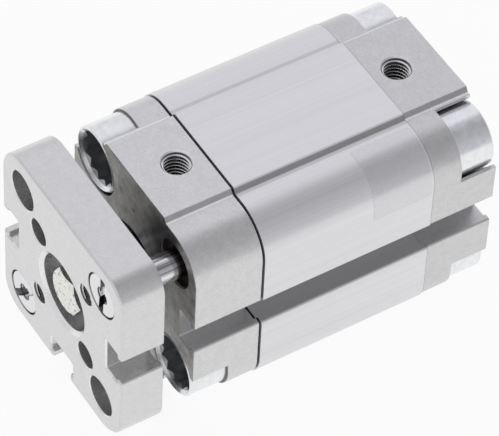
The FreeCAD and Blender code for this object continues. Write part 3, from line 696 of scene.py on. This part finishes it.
# For each pattern group: what gives its two patterns and its height, its number inputs,
# with the two contrasts first, and whose pattern varies the roughness, and by how much.
PATTERNS = {
    "Blasted grain": (
        grain_and_patches,
        {
            "Grain contrast": 0.10,
            "Patch contrast": 0.10,
            "Grains per metre": 2600.0,
            "Patches per metre": 650.0,
            "Roughness": 0.45,
        },
        ("Patch contrast", 0.12),
    ),
    "Drawn lines": (
        lines_and_bands,
        {"Line contrast": 0.12, "Band contrast": 0.12, "Roughness": 0.35},
        ("Line contrast", 0.18),
    ),
    "Turned rings": (
        rings_and_patches,
        {"Ring contrast": 0.06, "Patch contrast": 0.08, "Roughness": 0.2},
        ("Patch contrast", 0.2),
    ),
}


def pattern_group(name):
    """A group that varies a colour and a roughness by two patterns, and gives a height."""
    make_patterns, numbers, (rough_label, rough_swing) = PATTERNS[name]
    group, start, end = new_group(name, numbers, ["Colour", "Roughness", "Height"])
    *patterns, height = make_patterns(group, start)
    swings = {label: centred(group, pattern) for label, pattern in zip(numbers, patterns)}
    parts = [product(group, swing, start.outputs[label]) for label, swing in swings.items()]
    brightness = math_node(group, "ADD", math_node(group, "ADD", *parts), 1.0)
    colour = shade(group, start.outputs["Colour"], brightness)
    group.links.new(colour, end.inputs["Colour"])
    rough_part = product(group, swings[rough_label], rough_swing)
    rough = math_node(group, "ADD", start.outputs["Roughness"], rough_part)
    group.links.new(rough, end.inputs["Roughness"])
    group.links.new(height, end.inputs["Height"])
    return group


GROUP_MAKERS = {
    **dict.fromkeys(TINT_MASKS, tint_group),
    **dict.fromkeys(PATTERNS, pattern_group),
    "Oily face": oil_and_shadow_group,
    "Edge wear": edge_light_group,
}


def shared_group(name):
    """The shader group of that name, built the first time it is asked for."""
    return bpy.data.node_groups.get(name) or GROUP_MAKERS[name](name)


def place_group(tree, name, values, colour=None):
    """Places a shared group, behind a colour socket if one is given. Gives its node."""
    node = tree.nodes.new("ShaderNodeGroup")
    node.node_tree = shared_group(name)
    for label, value in values.items():
        node.inputs[label].default_value = value
    if colour is not None:
        tree.links.new(colour, node.inputs["Colour"])
    return node


def emptied_tree(holder, output_kind):
    """The node tree of a material or world with nothing left in it, and a new output."""
    holder.use_nodes = True
    tree = holder.node_tree
    tree.nodes.clear()
    return tree, tree.nodes.new(output_kind)


def finish_material(
    name,
    group_name,
    colour,
    group_values,
    shader_values,
    relief,
    shades=None,
    oil=None,
    wear=None,
):
    """A material whose colour, roughness and relief come from one of the pattern groups.

    relief is the depth of the pattern in metres. shades says which masks the colour passes
    through, and what each multiplies it by, most of them painted shade or painted highlight.
    The next argument holds the values of the oil stain on the front cap's face, whose group
    also paints a shadow and a dimple's shade there, and the last is the width and the gain of
    the painted highlight along sharp edges, which is painted shade when the gain is under 0."""
    material = bpy.data.materials.new(name)
    tree, output = emptied_tree(material, "ShaderNodeOutputMaterial")
    shader = tree.nodes.new("ShaderNodeBsdfPrincipled")
    tree.links.new(shader.outputs["BSDF"], output.inputs["Surface"])
    for label, number in shader_values.items():
        shader.inputs[label].default_value = number
    pattern = place_group(tree, group_name, {"Colour": (*colour, 1.0), **group_values})
    bump = tree.nodes.new("ShaderNodeBump")
    bump.inputs["Distance"].default_value = relief
    socket = pattern.outputs["Colour"]
    for mask, amount in (shades or {}).items():
        socket = place_group(tree, mask, {"Shade": amount}, socket).outputs["Colour"]
    if oil:
        socket = place_group(tree, "Oily face", oil, socket).outputs["Colour"]
    if wear:
        width, gain = wear
        edges = place_group(tree, "Edge wear", {"Width": width, "Gain": gain}, socket)
        socket = edges.outputs["Colour"]
        tree.links.new(edges.outputs["Normal"], bump.inputs["Normal"])
    tree.links.new(socket, shader.inputs["Base Color"])
    tree.links.new(pattern.outputs["Roughness"], shader.inputs["Roughness"])
    tree.links.new(pattern.outputs["Height"], bump.inputs["Height"])
    tree.links.new(bump.outputs["Normal"], shader.inputs["Normal"])
    return material


def cover(names, material):
    """Gives CAD nodes their material."""
    for name in names:
        mesh = NODES[name].data
        mesh.materials.clear()
        mesh.materials.append(material)


def deselect_all():
    if bpy.context.mode != "OBJECT":
        bpy.ops.object.mode_set(mode="OBJECT")
    bpy.ops.object.select_all(action="DESELECT")


def start_plane(name):
    """A plane of one metre round the origin, in edit mode and selected all over."""
    deselect_all()
    bpy.ops.mesh.primitive_plane_add(size=1.0, location=(0.0, 0.0, 0.0))
    piece = bpy.context.active_object
    piece.name = name
    bpy.ops.object.mode_set(mode="EDIT")
    bpy.ops.mesh.select_all(action="SELECT")
    return piece


def select_points(obj, chooses):
    """In edit mode, selects the points whose place chooses says yes to, and no others."""
    bpy.ops.mesh.select_all(action="DESELECT")
    bpy.ops.object.mode_set(mode="OBJECT")
    for point in obj.data.vertices:
        point.select = chooses(point.co)
    bpy.ops.object.mode_set(mode="EDIT")


def merge_points():
    bpy.ops.mesh.select_all(action="SELECT")
    bpy.ops.mesh.remove_doubles(threshold=MERGE_DISTANCE)


def end_edit():
    """Turns the faces outwards and leaves edit mode."""
    bpy.ops.mesh.select_all(action="SELECT")
    bpy.ops.mesh.normals_make_consistent(inside=False)
    bpy.ops.object.mode_set(mode="OBJECT")


def seat(piece, body, slot, *materials):
    """Applies the piece's place, and hands it to its body with its materials."""
    deselect_all()
    piece.select_set(True)
    bpy.context.view_layer.objects.active = piece
    bpy.ops.object.transform_apply(location=True, rotation=True, scale=True)
    chosen = [face.material_index for face in piece.data.polygons]
    piece.data.materials.clear()
    for material in materials:
        piece.data.materials.append(material)
    piece.data.polygons.foreach_set("material_index", chosen)
    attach(piece, body)
    return piece


def cut_thread(name, radius, pitch, length):
    """A right-hand thread ridge that winds up along Z from the origin, in a hole's wall."""
    profile_width = pitch * PROFILE_WIDTH_SHARE
    buried_depth = pitch * THREAD_DEPTH_SHARE + THREAD_BURY
    middle = (radius + THREAD_BURY - buried_depth / 2, 0.0, pitch / 2)
    piece = start_plane(name)
    bpy.ops.transform.rotate(
        value=QUARTER_TURN, orient_axis="X", center_override=(0, 0, 0)
    )
    bpy.ops.transform.resize(value=(buried_depth, 1.0, profile_width))
    bpy.ops.transform.translate(value=middle)
    select_points(piece, lambda place: place.x < middle[0])
    bpy.ops.transform.resize(value=(1.0, 1.0, CREST_SHARE), center_override=middle)
    bpy.ops.object.mode_set(mode="OBJECT")
    winding = piece.modifiers.new("Winding", "SCREW")
    winding.axis = "Z"
    winding.angle = 4 * QUARTER_TURN
    winding.screw_offset = pitch
    winding.iterations = math.floor((length - profile_width) / pitch)
    winding.steps = THREAD_STEPS
    winding.render_steps = THREAD_STEPS
    winding.use_merge_vertices = False
    bpy.ops.object.modifier_apply(modifier=winding.name)
    bpy.ops.object.mode_set(mode="EDIT")
    merge_points()
    bpy.ops.mesh.select_all(action="DESELECT")
    bpy.ops.mesh.select_mode(type="EDGE")
    bpy.ops.mesh.select_non_manifold()
    bpy.ops.mesh.fill_holes(sides=0)
    end_edit()
    bpy.ops.object.shade_smooth_by_angle(angle=SMOOTH_ANGLE)
    # Faces that turn out of the hole take the second material, the copy with painted light; the
    # others take the first, the copy with painted shade.
    for face in piece.data.polygons:
        face.material_index = int(face.normal.z > OUTWARD)
    return piece


def hole_mounts(prefix):
    """The record's mounts whose names start with the prefix, with their place and axis."""
    mounts = frame["record"]["mounts"]
    return [mount for mount in mounts if mount["name"].startswith(prefix)]


class CYLINDER_OT_finish_caps(bpy.types.Operator):
    """Give both end caps their blasted and anodised finish"""

    bl_idname = "cylinder.finish_caps"
    bl_label = "Finish Caps"

    def execute(self, context):
        colours = context.scene.cylinder_colours
        # Painted shade in the sensor slots, the ports, the screw pockets and on the crown's
        # flanks, and painted highlights on the port rims and the crown's foot.
        shades = {
            "Slot walls": 0.94,
            "Port walls": 0.3,
            "Port rims": 1.2,
            "Pocket walls": 0.15,
            "Crown flank": 0.66,
            "Crown foot": 1.4,
        }
        # The front cap's face inside the gap takes an oil stain and, with it, a painted shadow and
        # a dimple's painted shade.
        stain = {"Stain": (*colours.stain, 1.0), "Amount": 0.85}
        caps = (
            ("rear_cap", colours.rear_cap, None),
            ("front_cap", colours.front_cap, stain),
        )
        for node, colour, oil in caps:
            blasted = finish_material(
                "Blasted " + node.replace("_", " "),
                "Blasted grain",
                colour,
                {"Grain contrast": 0.26, "Patch contrast": 0.24, "Roughness": 0.33},
                ANODISED,
                relief=0.004 * MM,
                shades=shades,
                oil=oil,
                # A painted highlight along sharp edges.
                wear=(0.12 * MM, 0.25),
            )
            cover((node,), blasted)
        return {"FINISHED"}


class CYLINDER_OT_finish_barrel(bpy.types.Operator):
    """Give the barrel its drawn and anodised finish"""

    bl_idname = "cylinder.finish_barrel"
    bl_label = "Finish Barrel"

    def execute(self, context):
        drawn = finish_material(
            "Drawn barrel",
            "Drawn lines",
            context.scene.cylinder_colours.barrel,
            {"Line contrast": 0.18, "Band contrast": 0.18, "Roughness": 0.37},
            ANODISED,
            relief=0.003 * MM,
            # Painted shade in the sensor slots, on the crown's flanks and on the shoulder beside
            # them, with the shadowed seam line at the rear cap.
            shades={
                "Slot walls": 0.83,
                "Seam line": 0.35,
                "Crown flank": 0.47,
                "Crown shoulder": 0.82,
            },
            # A painted highlight along sharp edges.
            wear=(0.08 * MM, 0.2),
        )
        cover(("barrel",), drawn)
        return {"FINISHED"}


class CYLINDER_OT_finish_plate(bpy.types.Operator):
    """Give the yoke plate its blasted finish"""

    bl_idname = "cylinder.finish_plate"
    bl_label = "Finish Plate"

    def execute(self, context):
        blasted = finish_material(
            "Blasted plate",
            "Blasted grain",
            context.scene.cylinder_colours.plate,
            {"Grain contrast": 0.16, "Patch contrast": 0.18, "Roughness": 0.26},
            ANODISED,
            relief=0.003 * MM,
            # Painted shade in the plate's holes and a painted highlight on their chamfers.
            shades={"Bored walls": 0.8, "Hole rims": 1.22},
            # Painted shade along sharp edges, as the gain is under 0.
            wear=(0.12 * MM, -0.35),
        )
        cover(("yoke_plate",), blasted)
        return {"FINISHED"}


class CYLINDER_OT_finish_steel(bpy.types.Operator):
    """Give the screws their zinc plating and the rods their ground finish"""

    bl_idname = "cylinder.finish_steel"
    bl_label = "Finish Screws and Rods"

    def execute(self, context):
        colours = context.scene.cylinder_colours
        zinc = finish_material(
            "Bright zinc",
            "Turned rings",
            colours.zinc,
            {"Ring contrast": 0.14, "Patch contrast": 0.34, "Roughness": 0.22},
            {"Metallic": 0.85},
            relief=0.002 * MM,
            # Painted shade in the screws' sockets.
            shades={"Screw sockets": 0.5},
            # A painted highlight along sharp edges.
            wear=(0.10 * MM, 0.2),
        )
        ground = finish_material(
            "Ground steel",
            "Turned rings",
            colours.steel,
            {"Ring contrast": 0.10, "Patch contrast": 0.06, "Roughness": 0.14},
            {"Metallic": 1.0},
            relief=0.001 * MM,
            # Painted shade in the driver slots and painted dark reflections along the rods behind
            # the plate.
            shades={"Driver slots": 0.15, "Ground bands": 0.4},
            # A painted highlight along sharp edges.
            wear=(0.08 * MM, 0.2),
        )
        pressed = finish_material(
            "Pressed zinc",
            "Blasted grain",
            colours.pressed,
            {"Grains per metre": 3200.0, "Grain contrast": 0.6, "Roughness": 0.2},
            {"Metallic": 1.0},
            relief=0.012 * MM,
            shades={"Pressed specks": 0.5},
        )
        cover(SCREW_NODES, zinc)
        cover(("plate_screw", "piston_screw"), pressed)
        cover(ROD_NODES, ground)
        return {"FINISHED"}


class CYLINDER_OT_finish_inner_pieces(bpy.types.Operator):
    """Give the bushes, seals, cushions and piston their finishes"""

    bl_idname = "cylinder.finish_inner_pieces"
    bl_label = "Finish Inner Pieces"

    def execute(self, context):
        colours = context.scene.cylinder_colours
        finishes = (
            ("Sintered bronze", BUSH_NODES, colours.bronze, 0.0, 0.45, 0.15),
            ("Seal rubber", RUBBER_NODES, colours.rubber, 0.0, 0.62, 0.2),
            ("Cushion rubber", CUSHION_NODES, colours.cushion, 0.0, 0.7, 0.5),
            ("Turned piston", PISTON_NODES, colours.piston, 0.9, 0.3, 0.5),
            ("Bonded ferrite", ("piston_magnet",), colours.magnet, 0.0, 0.55, 0.5),
            ("Wear plastic", ("piston_wear_ring",), colours.wear_ring, 0.0, 0.5, 0.5),
        )
        for name, nodes, colour, metallic, roughness, shine in finishes:
            material = finish_material(
                name,
                "Blasted grain",
                colour,
                {"Grain contrast": 0.25, "Patch contrast": 0.2, "Roughness": roughness},
                {"Metallic": metallic, "Specular IOR Level": shine},
                relief=0.004 * MM,
            )
            cover(nodes, material)
        return {"FINISHED"}


def thread_start(mount, length, mouth):
    """Where a thread of that length starts: under the mouth, or centred if that is None."""
    axis = Vector(mount["axis"])
    place = Vector(mount["pos_m"])
    if mouth is None:
        return place - axis * (length / 2)
    return place + axis * (mouth - length - place.dot(axis))


def cut_alike(mounts, body, slot, materials, radius, pitch, length, mouth=None):
    """Cuts one thread, and copies it into every hole of that kind.

    Its turn brings the top end of the ridge to the side of the hole that shows."""
    first = cut_thread("thread", radius, pitch, length)
    turn = Quaternion((0.0, 0.0, 1.0), THREAD_TURN)
    for mount in mounts:
        piece = first.copy()
        piece.data = first.data.copy()
        piece.name = mount["name"] + "_ridge"
        bpy.context.scene.collection.objects.link(piece)
        piece.rotation_mode = "QUATERNION"
        piece.rotation_quaternion = Vector(mount["axis"]).to_track_quat("Z", "Y") @ turn
        piece.location = thread_start(mount, length, mouth)
        seat(piece, body, slot, *materials)
    bpy.data.objects.remove(first)


class CYLINDER_OT_cut_threads(bpy.types.Operator):
    """Cut the threads of the air ports, the plate and the hollow screws"""

    bl_idname = "cylinder.cut_threads"
    bl_label = "Cut Threads"

    def execute(self, context):
        threads = context.scene.cylinder_threads
        colours = context.scene.cylinder_colours
        # Lit and shaded copies of one metal: the thread faces that turn out of the hole take
        # painted light, the others painted shade, and the threads inside the screws take painted
        # shade all over.
        tones = (
            ("Thread in shadow", colours.plate, 0.2),
            ("Thread in light", colours.plate, 1.1),
            ("Zinc in painted shade", colours.zinc, 0.4),
        )
        shadowed, lit, zinc = [
            finish_material(
                name,
                "Turned rings",
                [part * tone for part in colour],
                {"Ring contrast": 0.05, "Patch contrast": 0.05, "Roughness": 0.25},
                {"Metallic": 1.0},
                relief=0.001 * MM,
            )
            for name, colour, tone in tones
        ]
        cut_alike(
            hole_mounts("port_"),
            "housing",
            "cap_aluminium",
            (shadowed, lit),
            threads.port_radius,
            threads.port_pitch,
            threads.port_length,
            mouth=CAP_TOP - PORT_EDGE,
        )
        cut_alike(
            hole_mounts("plate_thread_"),
            "carriage",
            "plate_aluminium",
            (shadowed, lit),
            threads.plate_radius,
            threads.plate_pitch,
            threads.plate_length,
            mouth=PLATE_FRONT - PLATE_EDGE,
        )
        cut_alike(
            hole_mounts("rear_thread_") + hole_mounts("front_thread_"),
            "housing",
            "zinc_steel",
            (zinc, zinc),
            threads.screw_radius,
            threads.screw_pitch,
            threads.screw_length,
        )
        return {"FINISHED"}


class CYLINDER_OT_lay_film(bpy.types.Operator):
    """Lay the bare film round the barrel's upper corner"""

    bl_idname = "cylinder.lay_film"
    bl_label = "Lay Film"

    def execute(self, context):
        film = context.scene.cylinder_film
        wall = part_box("barrel")[1].y
        arc_centre = wall - film.corner_radius
        piece = self.bend_strip(film, wall - FILM_BURY, arc_centre)
        self.round_corners(piece, film, arc_centre)
        thickness = piece.modifiers.new("Thickness", "SOLIDIFY")
        thickness.thickness = film.thickness + FILM_BURY
        thickness.offset = 1.0
        bpy.ops.object.modifier_apply(modifier=thickness.name)
        bpy.ops.object.shade_smooth_by_angle(angle=SMOOTH_ANGLE)
        satin = finish_material(
            "Satin film",
            "Blasted grain",
            context.scene.cylinder_colours.film,
            {"Grain contrast": 0.05, "Patch contrast": 0.05, "Roughness": 0.26},
            {"Metallic": 0.7, "Coat Weight": 0.3, "Coat Roughness": 0.2},
            relief=0.001 * MM,
        )
        seat(piece, "housing", "barrel_aluminium", satin)
        return {"FINISHED"}

    def bend_strip(self, film, under, arc_centre):
        """The film's underside: flat on top, bent round the corner, flat down the side."""
        piece = start_plane("film")
        bpy.ops.transform.resize(value=(film.width, film.top_reach, 1.0))
        bpy.ops.transform.translate(
            value=(
                SEAM_PLACE + film.rear + film.width / 2,
                arc_centre - film.top_reach / 2,
                under,
            )
        )
        self.select_edge(piece, lambda place: place.y > arc_centre - film.top_reach / 2)
        bpy.ops.mesh.spin(
            steps=FILM_ARC_STEPS,
            angle=QUARTER_TURN,
            center=(0.0, arc_centre, arc_centre),
            axis=(1.0, 0.0, 0.0),
        )
        self.select_edge(piece, lambda place: place.z < arc_centre + FILM_BURY)
        bpy.ops.mesh.extrude_region_move(
            TRANSFORM_OT_translate={"value": (0.0, 0.0, -film.side_reach)}
        )
        merge_points()
        return piece

    def round_corners(self, piece, film, arc_centre):
        top_end = arc_centre - film.top_reach
        side_end = arc_centre - film.side_reach
        bpy.ops.mesh.select_mode(type="VERT")
        select_points(
            piece,
            lambda place: abs(place.y - top_end) < FILM_BURY
            or abs(place.z - side_end) < FILM_BURY,
        )
        bpy.ops.mesh.bevel(
            affect="VERTICES", offset=film.corner_round, segments=FILM_CORNER_STEPS
        )
        end_edit()
        outside = piece.data.polygons[0].normal
        if outside.y + outside.z < 0:
            piece.data.flip_normals()

    def select_edge(self, piece, chooses):
        bpy.ops.mesh.select_mode(type="VERT")
        select_points(piece, chooses)
        bpy.ops.mesh.select_mode(type="EDGE")


def background_rays(tree):
    """1 for the rays that see the background straight, in a reflection or through glass."""
    path = tree.nodes.new("ShaderNodeLightPath")
    seen = math_node(
        tree, "MAXIMUM", path.outputs["Is Camera Ray"], path.outputs["Is Glossy Ray"]
    )
    return math_node(tree, "MAXIMUM", seen, path.outputs["Is Transmission Ray"])


def mix_shaders(tree, factor, first, second, output):
    """Links the output to first where the factor is 0 and to second where it is 1."""
    mix = tree.nodes.new("ShaderNodeMixShader")
    tree.links.new(factor, mix.inputs["Fac"])
    tree.links.new(first.outputs[0], mix.inputs[1])
    tree.links.new(second.outputs[0], mix.inputs[2])
    tree.links.new(mix.outputs["Shader"], output.inputs["Surface"])


class CYLINDER_OT_build_stage(bpy.types.Operator):
    """Lay the pale floor and set the lamps, the room light and the camera"""

    bl_idname = "cylinder.build_stage"
    bl_label = "Build Stage"

    def execute(self, context):
        stage = context.scene.cylinder_stage
        self.lay_floor(stage)
        self.light_room(context, stage)
        self.hang_lamp("Top light", TOP_LIGHT_PLACE, stage.top_power)
        self.hang_lamp("Side light", SIDE_LIGHT_PLACE, stage.side_power)
        self.set_camera(context)
        context.scene.view_settings.view_transform = "Standard"
        return {"FINISHED"}

    def lay_floor(self, stage):
        deselect_all()
        low = CAD_BOX[0].z
        bpy.ops.mesh.primitive_plane_add(size=stage.floor_size, location=(0, 0, low))
        floor = bpy.context.active_object
        floor.name = "floor"
        material = bpy.data.materials.new("Pale floor")
        tree, output = emptied_tree(material, "ShaderNodeOutputMaterial")
        matt = tree.nodes.new("ShaderNodeBsdfDiffuse")
        matt.inputs["Color"].default_value = FLOOR_COLOUR
        glow = tree.nodes.new("ShaderNodeEmission")
        share = product(tree, background_rays(tree), FLOOR_GLOW)
        mix_shaders(tree, share, matt, glow, output)
        floor.data.materials.append(material)

    def light_room(self, context, stage):
        world = bpy.data.worlds.new("Studio")
        context.scene.world = world
        tree, output = emptied_tree(world, "ShaderNodeOutputWorld")
        room = tree.nodes.new("ShaderNodeBackground")
        room.inputs["Color"].default_value = WHITE
        room.inputs["Strength"].default_value = stage.room_light
        paper = tree.nodes.new("ShaderNodeBackground")
        paper.inputs["Color"].default_value = (*stage.room_tint, 1.0)
        tree.links.new(self.paper_strength(tree, stage), paper.inputs["Strength"])
        mix_shaders(tree, background_rays(tree), room, paper, output)

    def paper_strength(self, tree, stage):
        """1 where the camera looks. Metal sees a dimmer room with a grey strip over it."""
        place = tree.nodes.new("ShaderNodeTexCoord")
        axes = tree.nodes.new("ShaderNodeSeparateXYZ")
        tree.links.new(place.outputs["Generated"], axes.inputs[0])
        strip = tree.nodes.new("ShaderNodeValToRGB")
        strip.color_ramp.interpolation = "EASE"
        stops = strip.color_ramp.elements
        while len(stops) < len(STRIP_STOPS):
            stops.new(position=0.5)
        for stop, (part, brightness) in zip(stops, STRIP_STOPS):
            stop.position = (part + 1.0) / 2.0
            stop.color = (brightness, brightness, brightness, 1.0)
        across = ramp(tree, axes.outputs["Y"], start=-1.0, end=1.0)
        tree.links.new(across, strip.inputs["Fac"])
        along = ramp(tree, axes.outputs["X"], STRIP_END, -STRIP_END, slope="SMOOTHSTEP")
        mixed = tree.nodes.new("ShaderNodeMix")
        mixed.inputs["A"].default_value = stage.reflected_room
        tree.links.new(along, mixed.inputs["Factor"])
        tree.links.new(strip.outputs["Color"], mixed.inputs["B"])
        camera_ray = tree.nodes.new("ShaderNodeLightPath").outputs["Is Camera Ray"]
        return math_node(tree, "MAXIMUM", mixed.outputs["Result"], camera_ray)

    def hang_lamp(self, name, place, power):
        deselect_all()
        bpy.ops.object.light_add(type="AREA", location=place)
        lamp = bpy.context.active_object
        lamp.name = name
        lamp.data.size = LAMP_SIZE
        lamp.data.energy = power
        lamp.visible_glossy = False
        aim = Vector(LAMP_TARGET) - Vector(place)
        lamp.rotation_mode = "QUATERNION"
        lamp.rotation_quaternion = aim.to_track_quat("-Z", "Y")

    def set_camera(self, context):
        deselect_all()
        bpy.ops.object.camera_add(location=CAMERA_PLACE)
        camera = bpy.context.active_object
        back = -CAMERA_VIEW.normalized()
        right = CAMERA_UP.cross(back).normalized()
        turn = Matrix((right, back.cross(right), back)).transposed()
        camera.rotation_mode = "QUATERNION"
        camera.rotation_quaternion = turn.to_quaternion()
        camera.data.sensor_fit = "HORIZONTAL"
        camera.data.sensor_width = SENSOR_WIDTH
        camera.data.lens = FOCAL_PIXELS / IMAGE_WIDTH * SENSOR_WIDTH
        camera.data.clip_start, camera.data.clip_end = CAMERA_CLIP
        context.scene.camera = camera


PIECE_OPERATORS = (
    CYLINDER_OT_finish_caps,
    CYLINDER_OT_finish_barrel,
    CYLINDER_OT_finish_plate,
    CYLINDER_OT_finish_steel,
    CYLINDER_OT_finish_inner_pieces,
    CYLINDER_OT_cut_threads,
    CYLINDER_OT_lay_film,
    CYLINDER_OT_build_stage,
)


class CYLINDER_PT_workshop(bpy.types.Panel):
    """The steps that dress the cylinder, in order"""

    bl_idname = "CYLINDER_PT_workshop"
    bl_label = "Compact Cylinder"
    bl_space_type = "VIEW_3D"
    bl_region_type = "UI"
    bl_category = "Cylinder"

    def draw(self, context):
        for operator in PIECE_OPERATORS:
            self.layout.operator(operator.bl_idname)


PROPERTY_GROUPS = {
    "cylinder_colours": CylinderColours,
    "cylinder_threads": CylinderThreads,
    "cylinder_film": CylinderFilm,
    "cylinder_stage": CylinderStage,
}


def register():
    for name, group in PROPERTY_GROUPS.items():
        bpy.utils.register_class(group)
        setattr(bpy.types.Scene, name, bpy.props.PointerProperty(type=group))
    for operator in PIECE_OPERATORS:
        bpy.utils.register_class(operator)
    bpy.utils.register_class(CYLINDER_PT_workshop)


def unregister():
    bpy.utils.unregister_class(CYLINDER_PT_workshop)
    for operator in reversed(PIECE_OPERATORS):
        bpy.utils.unregister_class(operator)
    for name, group in PROPERTY_GROUPS.items():
        delattr(bpy.types.Scene, name)
        bpy.utils.unregister_class(group)


def main():
    """Runs every step in order."""
    register()
    for operator in PIECE_OPERATORS:
        group, action = operator.bl_idname.split(".")
        getattr(getattr(bpy.ops, group), action)()


if __name__ == "__main__":
    main()
